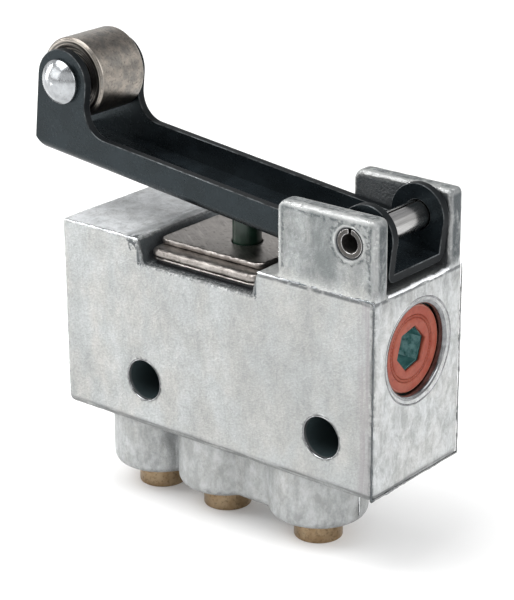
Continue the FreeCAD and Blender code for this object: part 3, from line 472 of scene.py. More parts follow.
def softened_copy(node, name, body, material, grid, rounds, faces_kept, wave_height, outer_rounds=0):
    """A copy of a node's solid with the soft edges and faint waves of cast or pressed metal."""
    piece = clean_copy(node, name, body)
    skin_grid = piece.modifiers.new("skin_grid", "REMESH")
    skin_grid.mode = "VOXEL"
    skin_grid.voxel_size = grid
    mesh = settle(piece)
    points = np.empty(len(mesh.vertices) * 3)
    mesh.vertices.foreach_get("co", points)
    points = points.reshape(-1, 3)
    links = point_links(mesh)
    soften(points, links, rounds, 1.0)
    if outer_rounds:
        soften(points, links, outer_rounds, near_outer_edges(points))
    mesh.vertices.foreach_set("co", points.ravel())
    waves = piece.modifiers.new("waves", "DISPLACE")
    waves.texture = bpy.data.textures.new(name + "_waves", "CLOUDS")
    waves.texture.noise_scale = CASTING_WAVE_SIZE
    waves.texture.noise_depth = 2
    waves.texture_coords = "LOCAL"
    waves.strength = wave_height
    waves.mid_level = 1.0
    fewer_faces = piece.modifiers.new("fewer_faces", "DECIMATE")
    fewer_faces.ratio = faces_kept
    even_shading = piece.modifiers.new("even_shading", "WEIGHTED_NORMAL")
    even_shading.mode = "FACE_AREA"
    even_shading.weight = 50
    mesh = settle(piece)
    mesh.name = name
    mesh.materials.append(material)
    mesh.shade_smooth()
    mark_edge_sharpness(mesh)


softened_copy(
    "valve_body",
    "casting",
    "housing",
    cast_skin,
    CASTING_GRID,
    CASTING_SMOOTHING,
    CASTING_FACES_KEPT,
    CASTING_WAVE_HEIGHT,
    OUTER_EDGE_SMOOTHING,
)

# Flash on the casting.
# Thin uneven ridges of the same alloy stand where the die's parts met: on the end face's edges,
# on the front edge of the block's top and down the third boss. They are trimmed, but not away.

BLOCK_BOTTOM = -0.0058
RECESS_LEFT, RECESS_RIGHT = -0.01317, 0.00393
EAR_GAP_HALF = 0.00555
FLASH_THICKNESS = 0.00019
FLASH_INSET = 0.0002
EAR_FLASH_THICKNESS = 0.00029
EAR_FLASH_INSET = 0.00023
CORNER_FLASH_THICKNESS = 0.0001
CORNER_FLASH_INSET = 0.00014
BOSS_PARTING_X = 0.01196
BOSS_PARTING_TOP, BOSS_PARTING_BOTTOM = -0.0060, -0.0126
FLASH_STEP = 0.00022
FLASH_CORNERS = 6
FLASH_THINNEST, FLASH_MIDDLE, FLASH_THICKEST = 0.75, 0.75, 1.15
SLOW_SWELL, SLOW_RATE = 0.9, 900
QUICK_SWELL, QUICK_RATE = 0.5, 2600
DRIFT, DRIFT_RATE = 0.5, 500
DRIFT_SEED = 1

# Where on the flash a mask starts and where it is full, in metres along one axis.
FLASH_DARK_Z = (0.0166, 0.0160)
FLASH_BOSS_Z = (-0.0064, -0.0060)
EAR_FLASH_X = (0.0184, 0.0188)
EAR_FLASH_Y = (-0.0070, -0.0064)
EAR_FLASH_Z = (0.0164, 0.0167)
UNDER_EAR_X = (0.0060, 0.0080)
UNDER_EAR_Y = (-0.0074, -0.0077)


def new_group(name, inputs, outputs):
    """A node group, its inputs' sockets and its output node. Inputs are (name, socket type, default)."""
    group = bpy.data.node_groups.new(name, "ShaderNodeTree")
    for label, kind, value in inputs:
        socket = group.interface.new_socket(label, in_out="INPUT", socket_type="NodeSocket" + kind)
        socket.default_value = value
    for label, kind in outputs:
        group.interface.new_socket(label, in_out="OUTPUT", socket_type="NodeSocket" + kind)
    return group, group.nodes.new("NodeGroupInput").outputs, group.nodes.new("NodeGroupOutput")


def place_group(tree, group, inputs):
    """Puts a node group into a material with its inputs and gives its outputs."""
    node = tree.nodes.new("ShaderNodeGroup")
    node.node_tree = group
    for label, value in inputs.items():
        feed(tree, node, label, value)
    return node.outputs


# Blotches: three tones in soft patches with small dark specks, as on a raw metal skin.
blotches, given, made = new_group(
    "Metal blotches",
    [
        ("Main", "Color", ALLOY_COOL),
        ("Second", "Color", ALLOY_WARM),
        ("Stain", "Color", ALLOY_STAIN_AND_SHADE),
        ("Patch size mm", "Float", 3.0),
        ("Speck size mm", "Float", 0.5),
        ("Stain amount", "Float", 0.4),
    ],
    [("Color", "Color"), ("Patches", "Float"), ("Specks", "Float")],
)
place = add_node(blotches, "TexCoord").outputs["Object"]
patch_noise = noise(blotches, place, given["Patch size mm"], detail=5.0, roughness=0.6)
speck_noise = noise(blotches, place, given["Speck size mm"], detail=3.0, roughness=0.55)
patches = remap(blotches, patch_noise, 0.38, 0.62)
specks = remap(blotches, speck_noise, 0.52, 0.72)
stains = product(blotches, specks, given["Stain amount"])
tone = layered(blotches, given["Main"], (patches, given["Second"]), (stains, given["Stain"]))
feed(blotches, made, "Color", tone)
feed(blotches, made, "Patches", patches)
feed(blotches, made, "Specks", specks)


def blotch_tones(tree, main, second, stain, patch, speck, amount):
    """Three tones in blotches. Sizes are in millimetres, and the amount is how much the stain shows."""
    inputs = {
        "Main": main,
        "Second": second,
        "Stain": stain,
        "Patch size mm": patch,
        "Speck size mm": speck,
        "Stain amount": amount,
    }
    return place_group(tree, blotches, inputs)


flash_metal, tree, shader = new_material("flash_metal")
tones = blotch_tones(tree, ALLOY_COOL, ALLOY_PALE, ALLOY_GRIME_AND_SHADE, patch=0.9, speck=0.9, amount=0.75)
_, x, y, z = coordinates(tree)
off_bosses = remap(tree, z, *FLASH_BOSS_Z, at_start=0.25)
below_top = product(tree, remap(tree, z, *FLASH_DARK_Z, at_end=0.85), off_bosses)
# Painted highlight: the ridge between the ears is painted pale and less metallic.
ear_corner = product(tree, remap(tree, z, *EAR_FLASH_Z), remap(tree, x, *EAR_FLASH_X))
ear_gap_glint = product(tree, ear_corner, remap(tree, y, *EAR_FLASH_Y))
patchy = remap(tree, tones["Patches"], 0.0, 1.0, at_start=1.0, at_end=0.55)
under_ear = product(tree, remap(tree, x, *UNDER_EAR_X, at_end=0.9), remap(tree, y, *UNDER_EAR_Y), patchy)
layers = ((below_top, ALLOY_SPECK_AND_SHADE), (under_ear, ALLOY_EAR_END), (ear_gap_glint, ALLOY_PALE))
feed(tree, shader, "Base Color", layered(tree, tones["Color"], *layers))
feed(tree, shader, "Metallic", remap(tree, ear_gap_glint, 0.0, 1.0, at_start=1.0, at_end=0.6))
feed(tree, shader, "Roughness", remap(tree, tones["Specks"], 0.0, 1.0, at_start=0.20, at_end=0.40))


def flash_ridge(work, start, end, thickness):
    """An uneven bead from start to end. Its radius and its middle wander, and it stays in the block's box."""
    start, end = Vector(start), Vector(end)
    along = (end - start).normalized()
    side = along.orthogonal().normalized()
    across = along.cross(side)
    steps = max(2, int((end - start).length / FLASH_STEP))
    previous = None
    for step in range(steps + 1):
        centre = start.lerp(end, step / steps)
        slow = SLOW_SWELL * mathutils_noise.noise(centre * SLOW_RATE)
        quick = QUICK_SWELL * mathutils_noise.noise(centre * QUICK_RATE)
        radius = thickness * min(FLASH_THICKEST, max(FLASH_THINNEST, FLASH_MIDDLE + slow + quick))
        drift = mathutils_noise.noise_vector(centre * DRIFT_RATE) * thickness * DRIFT
        ring = []
        for corner in range(FLASH_CORNERS):
            turn = math.tau * corner / FLASH_CORNERS
            point = centre + drift + (side * math.cos(turn) + across * math.sin(turn)) * radius
            point.x = min(max(point.x, BLOCK_LEFT), BLOCK_RIGHT)
            point.y = min(max(point.y, -BLOCK_SIDE), BLOCK_SIDE)
            ring.append(work.verts.new(point))
        if previous:
            for corner in range(FLASH_CORNERS):
                after = corner + 1 - FLASH_CORNERS
                work.faces.new((previous[corner], previous[after], ring[after], ring[corner]))
        else:
            work.faces.new(ring[::-1])
        previous = ring
    work.faces.new(previous)


def add_trim(name, work, material):
    """Makes a bmesh an object of thin smooth trim that rides with the valve body."""
    mesh = bpy.data.meshes.new(name)
    work.to_mesh(mesh)
    work.free()
    mesh.shade_smooth()
    mesh.materials.append(material)
    piece = bpy.data.objects.new(name, mesh)
    bpy.context.scene.collection.objects.link(piece)
    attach(piece, "housing")


left, right = BLOCK_LEFT + FLASH_INSET, BLOCK_RIGHT - FLASH_INSET
bottom, top = BLOCK_BOTTOM + FLASH_INSET, BLOCK_TOP - FLASH_INSET
side = BLOCK_SIDE - FLASH_INSET
ear_x, ear_z = BLOCK_RIGHT - EAR_FLASH_INSET, BLOCK_TOP - EAR_FLASH_INSET
corner_x, corner_y = BLOCK_RIGHT - CORNER_FLASH_INSET, BLOCK_SIDE - CORNER_FLASH_INSET
boss_top, boss_bottom = (BOSS_PARTING_X, 0, BOSS_PARTING_TOP), (BOSS_PARTING_X, 0, BOSS_PARTING_BOTTOM)
# Without a seed, noise_vector would follow the clock.
mathutils_noise.seed_set(DRIFT_SEED)
work = bmesh.new()
for start, end, thickness in (
    ((right, -side, bottom), (right, side, bottom), FLASH_THICKNESS),
    ((left, -side, top), (RECESS_LEFT, -side, top), FLASH_THICKNESS),
    ((RECESS_RIGHT, -side, top), (right, -side, top), FLASH_THICKNESS),
    ((ear_x, -EAR_GAP_HALF, ear_z), (ear_x, EAR_GAP_HALF, ear_z), EAR_FLASH_THICKNESS),
    ((corner_x, -corner_y, bottom), (corner_x, -corner_y, top), CORNER_FLASH_THICKNESS),
    ((corner_x, corner_y, bottom), (corner_x, corner_y, top), CORNER_FLASH_THICKNESS),
    (boss_top, boss_bottom, CORNER_FLASH_THICKNESS),
):
    flash_ridge(work, start, end, thickness)
bmesh.ops.recalc_face_normals(work, faces=work.faces)
add_trim("parting_flash", work, flash_metal)

# Machined mouths.
# The end plug's bore is counterbored after casting and the two mounting holes are reamed, so a
# turned rim shows at each mouth. Inside the holes the rims are painted dark as shade.

MACHINED = (0.30, 0.305, 0.31, 1)
MACHINED_DARK = (0.15, 0.152, 0.157, 1)
BORE_SHADE = (0.028, 0.040, 0.043, 1)
IN_HOLE_Y = (0.0080, 0.0076)
HOLES_TO_X = (0.0175, 0.0170)
RIM_SEGMENTS = 96
PLUG_BORE_Z = 0.0092
HOLE_X = 0.0127
PLUG_MOUTH = (
    (0.00008, 0.00612),
    (0.00001, 0.00605),
    (0.0, 0.00598),
    (0.00004, 0.00590),
    (0.00014, 0.00578),
    (0.00020, 0.00560),
    (0.00024, 0.00535),
    (0.00034, 0.00520),
    (0.00050, 0.00512),
    (0.00140, 0.00512),
)
HOLE_MOUTH = ((0.00008, 0.00250), (0.0, 0.00246), (0.00003, 0.00240), (0.00012, 0.00233), (0.00810, 0.00231))

# Surface grain: fine and coarse unevenness that feeds a bump.
grain, given, made = new_group(
    "Surface grain",
    [("Fine size mm", "Float", 0.15), ("Coarse size mm", "Float", 1.2), ("Coarse share", "Float", 0.5)],
    [("Height", "Float")],
)
place = add_node(grain, "TexCoord").outputs["Object"]
fine = noise(grain, place, given["Fine size mm"])
coarse = noise(grain, place, given["Coarse size mm"], detail=3.0)
feed(grain, made, "Height", blend_values(grain, given["Coarse share"], fine, coarse))


def grain_skin(tree, shader, fine, coarse, share, strength, height):
    """Gives a shader the surface grain, with its sizes in millimetres, as a bump."""
    inputs = {"Fine size mm": fine, "Coarse size mm": coarse, "Coarse share": share}
    bump(tree, shader, place_group(tree, grain, inputs)["Height"], strength, height)


machined_alloy, tree, shader = new_material("machined_alloy")
tones = blotch_tones(tree, MACHINED, MACHINED_DARK, MACHINED_DARK, patch=1.8, speck=0.5, amount=0.5)
_, x, y, z = coordinates(tree)
# Painted shade where the rims are closed in, and darker painted shade deep in the holes.
occlusion_shade = remap(tree, openness(tree, distance=0.0012), 0.40, 0.12, at_end=0.9)
deep = remap(tree, arithmetic(tree, "ABSOLUTE", y, 0.0), *IN_HOLE_Y)
in_hole = product(tree, deep, remap(tree, x, *HOLES_TO_X))
feed(tree, shader, "Base Color", layered(tree, tones["Color"], (occlusion_shade, ALLOY_GRIME_AND_SHADE), (in_hole, BORE_SHADE)))
feed(tree, shader, "Metallic", remap(tree, in_hole, 0.0, 1.0, at_start=1.0, at_end=0.0))
feed(tree, shader, "Roughness", 0.20)
grain_skin(tree, shader, fine=0.3, coarse=1.6, share=0.7, strength=0.05, height=0.00006)


def turned_rim(name, mouth, inward, profile):
    """A thin turned surface round a mouth. The profile gives how far in and how wide it runs."""
    turn_to_axis = Vector((0, 0, 1)).rotation_difference(Vector(inward)).to_matrix()
    work = bmesh.new()
    rings = []
    for depth, radius in profile:
        ring = []
        for step in range(RIM_SEGMENTS):
            angle = math.tau * step / RIM_SEGMENTS
            point = Vector((radius * math.cos(angle), radius * math.sin(angle), depth))
            ring.append(work.verts.new(Vector(mouth) + turn_to_axis @ point))
        rings.append(ring)
    for outer, inner in zip(rings, rings[1:]):
        for step in range(RIM_SEGMENTS):
            work.faces.new((outer[step - 1], outer[step], inner[step], inner[step - 1]))
    add_trim(name, work, machined_alloy)


turned_rim("plug_mouth_rim", (BLOCK_RIGHT, 0, PLUG_BORE_Z), (-1, 0, 0), PLUG_MOUTH)
for name, along in (("left", -HOLE_X), ("right", HOLE_X)):
    turned_rim("hole_rim_front_" + name, (along, -BLOCK_SIDE, 0), (0, 1, 0), HOLE_MOUTH)
    turned_rim("hole_rim_back_" + name, (along, BLOCK_SIDE, 0), (0, -1, 0), HOLE_MOUTH)

# Rubber seals.
# Moulded nitrile rings and faces: under the plates, round the plunger, at the end plug, on
# the poppets and round each tube. They are pushed into their grooves.

SEAL_BLACK = (0.012, 0.012, 0.013, 1)
SEAL_BLOOM = (0.035, 0.035, 0.037, 1)


def blotched_material(name, main, second, stain, patch, speck, amount, roughness, metallic=0.0):
    """A material in blotched tones, and its tree and shader. A pair of roughnesses follows the specks."""
    material, tree, shader = new_material(name)
    tones = blotch_tones(tree, main, second, stain, patch, speck, amount)
    if isinstance(roughness, tuple):
        roughness = remap(tree, tones["Specks"], 0.0, 1.0, *roughness)
    feed(tree, shader, "Base Color", tones["Color"])
    feed(tree, shader, "Metallic", metallic)
    feed(tree, shader, "Roughness", roughness)
    return material, tree, shader


rubber, tree, shader = blotched_material(
    "seal_rubber", SEAL_BLACK, SEAL_BLOOM, SEAL_BLOOM, patch=1.2, speck=0.2, amount=0.3, roughness=0.6
)
grain_skin(tree, shader, fine=0.1, coarse=0.6, share=0.3, strength=0.25, height=0.00005)


def finish_node(node, material):
    """Gives a CAD node its finish. Its shape stays."""
    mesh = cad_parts[node].data
    mesh.materials.clear()
    mesh.materials.append(material)


for node in ("recess_gasket", "plunger_seal", "plug_o_ring", "inlet_seal", "exhaust_seal"):
    finish_node(node, rubber)
for number in ("1", "2", "3"):
    finish_node("tube_o_ring_" + number, rubber)

# Plates over the recess.
# Three stampings in stainless sheet, laid on the gasket: a thin base, a thick guide with rolled
# edges that holds the plunger's seal, and a smaller cover on top.

PLATE_STEEL = (0.185, 0.167, 0.156, 1)
PLATE_PALE = (0.38, 0.355, 0.332, 1)
PLATE_DARK = (0.07, 0.060, 0.054, 1)
SCRATCH_ANGLE = 0.6
PLATE_GRID = 0.00014
PLATE_FACES_KEPT = 0.35
PLATE_WAVE_HEIGHT = 0.00003
PLATE_SMOOTHING = {"base_plate": 5, "guide_plate": 14, "cover_plate": 3}

plate_steel, tree, shader = new_material("plate_steel")
tones = blotch_tones(tree, PLATE_STEEL, PLATE_PALE, PLATE_DARK, patch=2.0, speck=0.5, amount=0.75)
place = add_node(tree, "TexCoord").outputs["Object"]
turned = add_node(tree, "VectorRotate", {"Vector": place, "Angle": SCRATCH_ANGLE}, rotation_type="Z_AXIS")
drawn_out = stretched(tree, turned.outputs["Vector"], (0.12, 1, 1))
scratches = remap(tree, noise(tree, drawn_out, size=0.32, detail=3.0, roughness=0.6), 0.50, 0.66, at_end=0.75)
feed(tree, shader, "Base Color", layered(tree, tones["Color"], (scratches, PLATE_PALE)))
feed(tree, shader, "Metallic", 1.0)
feed(tree, shader, "Roughness", remap(tree, tones["Patches"], 0.0, 1.0, at_start=0.28, at_end=0.42))
grain_skin(tree, shader, fine=0.2, coarse=1.4, share=0.7, strength=0.2, height=0.00008)

for node, rounds in PLATE_SMOOTHING.items():
    name = node + "_stamping"
    softened_copy(node, name, "housing", plate_steel, PLATE_GRID, rounds, PLATE_FACES_KEPT, PLATE_WAVE_HEIGHT)

# Plunger.
# Moulded in dark green plastic, polished where the lever's web rubs on its crown. It slides in
# the plates' hole and its wedge pushes the stem.

PLUNGER_GREEN = (0.006, 0.022, 0.013, 1)
PLUNGER_SHEEN = (0.012, 0.04, 0.024, 1)


def edged_copy(node, name, body, materials, radius, segments=2, angle=28):
    """A copy of a node's solid with its sharp outer edges rounded. The last material is on the rounds."""
    piece = clean_copy(node, name, body)
    mesh = piece.data
    work = bmesh.new()
    work.from_mesh(mesh)
    weight = work.edges.layers.float.new("bevel_weight_edge")
    for edge in work.edges:
        if edge.is_manifold and edge.calc_face_angle_signed() > math.radians(angle):
            edge[weight] = 1.0
    work.to_mesh(mesh)
    work.free()
    for material in materials:
        mesh.materials.append(material)
    mesh.shade_smooth()
    mesh.set_sharp_from_angle(angle=math.radians(angle))
    rounding = piece.modifiers.new("edge_rounding", "BEVEL")
    rounding.width = radius
    rounding.segments = segments
    rounding.limit_method = "WEIGHT"
    rounding.use_clamp_overlap = False
    rounding.loop_slide = False
    rounding.harden_normals = True
    rounding.miter_outer = "MITER_ARC"
    rounding.material = len(materials) - 1
    return piece


plunger_plastic, tree, shader = blotched_material(
    "plunger_plastic", PLUNGER_GREEN, PLUNGER_SHEEN, PLUNGER_GREEN,
    patch=1.2, speck=0.2, amount=0.3, roughness=0.3,
)
grain_skin(tree, shader, fine=0.12, coarse=0.6, share=0.4, strength=0.2, height=0.00005)
edged_copy("plunger", "plunger_moulding", "plunger", [plunger_plastic, plunger_plastic], radius=0.00008)

# Stem, seats and the exhaust poppet.
# Turned from brass rod. The seats are pressed into the bore, and the stem slides through them
# with the poppet on it.

BRASS_MAIN = (0.27, 0.185, 0.105, 1)
BRASS_PALE = (0.36, 0.27, 0.17, 1)
BRASS_TARNISH = (0.10, 0.07, 0.045, 1)

brass, tree, shader = blotched_material(
    "turned_brass", BRASS_MAIN, BRASS_PALE, BRASS_TARNISH,
    patch=1.5, speck=0.35, amount=0.55, roughness=(0.34, 0.5), metallic=1.0,
)
grain_skin(tree, shader, fine=0.12, coarse=0.7, share=0.5, strength=0.25, height=0.00006)

for node in ("poppet_stem", "exhaust_poppet", "exhaust_seat", "inlet_seat"):
    finish_node(node, brass)

# Tube ports.
# Each has a brass collet that grips the tube, a sleeve that holds it in the boss, and a
# backing ring over its seal. The collet's rim stands out below the boss.

for number in ("1", "2", "3"):
    collet = "collet_" + number
    edged_copy(collet, "collet_turning_" + number, collet, [brass, brass], radius=0.00012)
    edged_copy("port_sleeve_" + number, "sleeve_turning_" + number, "housing", [brass, brass], radius=0.00008)
    finish_node("backing_ring_" + number, brass)

# Return spring.
# Coiled from drawn steel wire. It sits between the stem and the end plug and pushes the stem back.
# Here it is one fixed coil on the housing, with a mesh of its own.

SPRING_GREY = (0.42, 0.42, 0.43, 1)

spring_steel = blotched_material(
    "spring_wire", SPRING_GREY, PLATE_PALE, PLATE_DARK,
    patch=1.0, speck=0.2, amount=0.3, roughness=0.3, metallic=1.0,
)[0]
spring = clean_copy("return_spring", "spring_coil", "housing")
spring.data.materials.append(spring_steel)
spring.data.shade_smooth()
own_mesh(spring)

# End plug.
# Moulded in dark teal plastic and screwed into the stem bore, with a hexagon socket and a red
# face ring moulded onto it.

PLUG_TEAL = (0.026, 0.090, 0.087, 1)
PLUG_PALE = (0.075, 0.20, 0.195, 1)
PLUG_DARK = (0.010, 0.045, 0.045, 1)
SOCKET_LIT = (0.24, 0.43, 0.43, 1)
SOCKET_RADIUS = 0.0027
SOCKET_FLOOR = 0.0140
LIT_WALL_FACING = -0.8
RING_RED = (0.25, 0.042, 0.022, 1)
RING_PALE = (0.29, 0.072, 0.042, 1)
RING_DARK = (0.13, 0.024, 0.018, 1)
RING_RIM = (0.36, 0.13, 0.09, 1)
RING_RIM_RADIUS = 0.0047

plug_plastic, tree, shader = blotched_material(
    "plug_plastic", PLUG_TEAL, PLUG_PALE, PLUG_TEAL, patch=1.8, speck=0.5, amount=0.3, roughness=0.22
)
grain_skin(tree, shader, fine=0.15, coarse=0.9, share=0.6, strength=0.2, height=0.00008)
# Painted light: a paler, lit copy of the plug's plastic for the socket's walls that face the front.
lit_socket_wall = blotched_material(
    "lit_socket_wall", SOCKET_LIT, PLUG_PALE, PLUG_DARK, patch=0.9, speck=0.4, amount=0.6, roughness=0.15
)[0]
ring_plastic, tree, shader = blotched_material(
    "ring_plastic", RING_RED, RING_PALE, RING_DARK, patch=1.6, speck=0.5, amount=0.5, roughness=0.45
)
feed(tree, shader, "Specular IOR Level", 0.28)
grain_skin(tree, shader, fine=0.15, coarse=0.8, share=0.6, strength=0.4, height=0.0001)
ring_rim, tree, shader = blotched_material(
    "ring_rim", RING_RIM, RING_PALE, RING_DARK, patch=1.6, speck=0.4, amount=0.5, roughness=0.35
)
grain_skin(tree, shader, fine=0.15, coarse=0.8, share=0.6, strength=0.3, height=0.0001)


def paint_faces(piece, slot, wanted):
    """Gives the faces that pass a test, by their middle and direction, the piece's material of that slot."""
    for face in piece.data.polygons:
        if wanted(face.center, face.normal):
            face.material_index = slot


def off_plug_axis(middle):
    """How far a place is from the plug's axis."""
    return Vector((middle.y, middle.z - PLUG_BORE_Z)).length


def on_lit_wall(middle, facing):
    """True for the socket's walls that face the front."""
    return off_plug_axis(middle) < SOCKET_RADIUS and facing.y < LIT_WALL_FACING and middle.x > SOCKET_FLOOR


plug = edged_copy(
    "end_plug", "plug_moulding", "housing", [plug_plastic, lit_socket_wall, plug_plastic], radius=0.00008
)
paint_faces(plug, 1, on_lit_wall)
face_ring = edged_copy(
    "plug_face_ring", "ring_moulding", "housing", [ring_plastic, ring_rim], radius=0.00022, segments=3
)
settle(face_ring)
paint_faces(face_ring, 0, lambda middle, facing: off_plug_axis(middle) < RING_RIM_RADIUS)

# Pivot pin.
# A spring pin rolled from hardened strip, pressed into the ears with its slit up.

PIN_STEEL = (0.30, 0.295, 0.29, 1)
PIN_PALE = (0.50, 0.495, 0.49, 1)
PIN_DARK = (0.055, 0.053, 0.050, 1)
PIN_BROWN = (0.085, 0.076, 0.070, 1)
PIN_BORE_RADIUS = 0.0013
PIN_END_FACING = 0.9

pin_steel, tree, shader = new_material("pin_steel")
drawn_along = stretched(tree, add_node(tree, "TexCoord").outputs["Object"], (1, 0.06, 1))
streaks = remap(tree, noise(tree, drawn_along, size=0.5, detail=3.0), 0.35, 0.65)
# Painted shade where the ears close the pin in.
occlusion_shade = remap(tree, openness(tree, distance=0.0015), 0.75, 0.30)
feed(tree, shader, "Base Color", layered(tree, PIN_STEEL, (streaks, PIN_PALE), (occlusion_shade, PIN_DARK)))
feed(tree, shader, "Metallic", 1.0)
feed(tree, shader, "Roughness", remap(tree, streaks, 0.0, 1.0, at_start=0.16, at_end=0.24))
bump(tree, shader, streaks, strength=0.12, distance=0.00002)
pin_end = blotched_material(
    "pin_end", PIN_DARK, PIN_BROWN, PIN_STEEL, patch=0.7, speck=0.3, amount=0.15, roughness=0.5, metallic=0.7
)[0]
spring_pin = edged_copy("pivot_pin", "spring_pin", "housing", [pin_steel, pin_end, pin_steel], radius=0.00007)


def on_end_or_bore(middle, facing):
    """True for the pin's end faces and its inner wall."""
    off_axis = Vector((middle.x - PIVOT[0], middle.z - PIVOT[1])).length
    return abs(facing.y) > PIN_END_FACING or off_axis < PIN_BORE_RADIUS


paint_faces(spring_pin, 1, on_end_or_bore)

# Lever.
# Pressed from 1 mm steel sheet into a channel and blackened. Its cut edges are matt, and the
# black is worn off its corners in places. It turns on the pivot pin.

LEVER_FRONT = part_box("lever_arm")[0][1]
LEVER_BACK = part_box("lever_arm")[1][1]
LEVER_SHEET = 0.00104
LEVER_TILT_DEGREES = 6.4
WEB_DROP = 0.00445
WEB_REACH = 0.0033
RIM_FACING = 0.3
WEB_END_FACING = 0.8
LEVER_BLACK = (0.0050, 0.0066, 0.0078, 1)
LEVER_BLUE = (0.0100, 0.0135, 0.0160, 1)
LEVER_TINT = (0.80, 1.0, 1.08, 1)
LEVER_EDGE = (0.0045, 0.0058, 0.0068, 1)
LEVER_BRIGHT = (0.10, 0.11, 0.115, 1)

lever_black, tree, shader = blotched_material(
    "lever_black", LEVER_BLACK, LEVER_BLUE, LEVER_BLACK,
    patch=3.5, speck=0.5, amount=0.5, roughness=(0.24, 0.34),
)
feed(tree, shader, "Specular IOR Level", 0.24)
feed(tree, shader, "Specular Tint", LEVER_TINT)
grain_skin(tree, shader, fine=0.2, coarse=1.8, share=0.6, strength=0.15, height=0.0001)
lever_edge, tree, shader = blotched_material(
    "lever_edge", LEVER_EDGE, LEVER_BLACK, LEVER_BLACK, patch=1.0, speck=0.3, amount=0.5, roughness=0.5
)
feed(tree, shader, "Specular IOR Level", 0.10)
grain_skin(tree, shader, fine=0.12, coarse=0.7, share=0.5, strength=0.3, height=0.00008)
lever_corner = blotched_material(
    "lever_corner", LEVER_BRIGHT, LEVER_EDGE, LEVER_BLACK,
    patch=1.6, speck=0.5, amount=0.9, roughness=0.35, metallic=0.6,
)[0]
lever = edged_copy(
    "lever_arm", "lever_pressing", "lever", [lever_black, lever_edge, lever_corner], radius=0.00009
)
tilt = math.radians(LEVER_TILT_DEGREES)


def on_cut_edge(middle, facing):
    """True for the faces where the sheet was cut: the flanges' rims and the web's end over the pivot."""
    along, above = middle.x - PIVOT[0], middle.z - PIVOT[1]
    reach = along * math.cos(tilt) - above * math.sin(tilt)
    height = along * math.sin(tilt) + above * math.cos(tilt)
    in_flange = middle.y < LEVER_FRONT + LEVER_SHEET or middle.y > LEVER_BACK - LEVER_SHEET
    rim = in_flange and abs(facing.y) < RIM_FACING and height > LEVER_SHEET - WEB_DROP
    return rim or (facing.x > WEB_END_FACING and reach > WEB_REACH)


paint_faces(lever, 1, on_cut_edge)

# Roller and its rivet.
# The roller is turned steel, hardened and a little pitted. The rivet is zinc plated, with a
# domed head in front and a formed one behind, and is the roller's axle.

ROLLER_GREY = (0.19, 0.180, 0.166, 1)
ROLLER_WARM = (0.33, 0.295, 0.255, 1)
ROLLER_PIT = (0.10, 0.09, 0.08, 1)
ROLLER_END_DARK = (0.10, 0.094, 0.086, 1)
ROLLER_END_PALE = (0.30, 0.275, 0.245, 1)
ROLLER_AXIS = (-0.027133, 0.032015)
ROLLER_RING_PITCH = 0.00042
ROLLER_END_FACING = 0.8
RIVET_ZINC = (0.44, 0.455, 0.47, 1)
RIVET_DULL = (0.30, 0.31, 0.32, 1)

roller_steel, tree, shader = blotched_material(
    "roller_steel", ROLLER_GREY, ROLLER_WARM, ROLLER_PIT,
    patch=1.3, speck=0.28, amount=0.75, roughness=(0.30, 0.42), metallic=1.0,
)
grain_skin(tree, shader, fine=0.14, coarse=0.5, share=0.5, strength=0.3, height=0.0001)

roller_end, tree, shader = new_material("roller_end")
_, x, y, z = coordinates(tree)
along = arithmetic(tree, "SUBTRACT", x, ROLLER_AXIS[0])
above = arithmetic(tree, "SUBTRACT", z, ROLLER_AXIS[1])
squares = arithmetic(tree, "ADD", product(tree, along, along), product(tree, above, above))
turns = product(tree, arithmetic(tree, "POWER", squares, 0.5), math.tau / ROLLER_RING_PITCH)
rings = arithmetic(tree, "SINE", turns, 0.0)
ring_tops = remap(tree, rings, -0.6, 0.8)
feed(tree, shader, "Base Color", layered(tree, ROLLER_END_DARK, (ring_tops, ROLLER_END_PALE)))
feed(tree, shader, "Metallic", 1.0)
feed(tree, shader, "Roughness", 0.3)
bump(tree, shader, rings, strength=0.5, distance=0.00004)
roller = edged_copy(
    "roller", "roller_turning", "roller", [roller_steel, roller_end, roller_end], radius=0.00008
)
paint_faces(roller, 1, lambda middle, facing: abs(facing.y) > ROLLER_END_FACING)

rivet_zinc, tree, shader = blotched_material(
    "rivet_zinc", RIVET_ZINC, RIVET_DULL, ALLOY_STAIN_AND_SHADE,
    patch=1.4, speck=0.3, amount=0.3, roughness=(0.20, 0.32), metallic=1.0,
)
grain_skin(tree, shader, fine=0.15, coarse=0.8, share=0.6, strength=0.15, height=0.0001)
edged_copy("roller_rivet", "rivet_turning", "lever", [rivet_zinc, rivet_zinc], radius=0.00006)

# Studio.
# A flat pale floor in a white room, whose grey ceiling and skirting show only in reflections.
# The lamps are a soft box over the left, a strip beside it, and fills in front and on the right.

FLOOR_Z = cad_box[0][2]
FLOOR_HALF = 3
FLOOR_WHITE = (0.86, 0.86, 0.86, 1)
GLOW_DISTANCE = (0.2, 1.0)
GLOW_STRENGTH = (0.12, 0.6)
WHITE = (1, 1, 1, 1)
CEILING_GREY = (0.30, 0.30, 0.31, 1)
CEILING_HEIGHT = (0.42, 0.68)
SKIRTING_GREY = (0.1, 0.1, 0.1, 1)
SKIRTING_HEIGHT = (0.12, 0.03)
ROOM_STRENGTH = 0.55
LAMP_TARGET = (0, 0, 0.01)


def shows_background(tree):
    """1 for the rays that show the white background: the camera's, and those that metal or glass sends on."""
    path = add_node(tree, "LightPath").outputs
    seen = arithmetic(tree, "MAXIMUM", path["Is Camera Ray"], path["Is Glossy Ray"])
    return arithmetic(tree, "MAXIMUM", seen, path["Is Transmission Ray"])


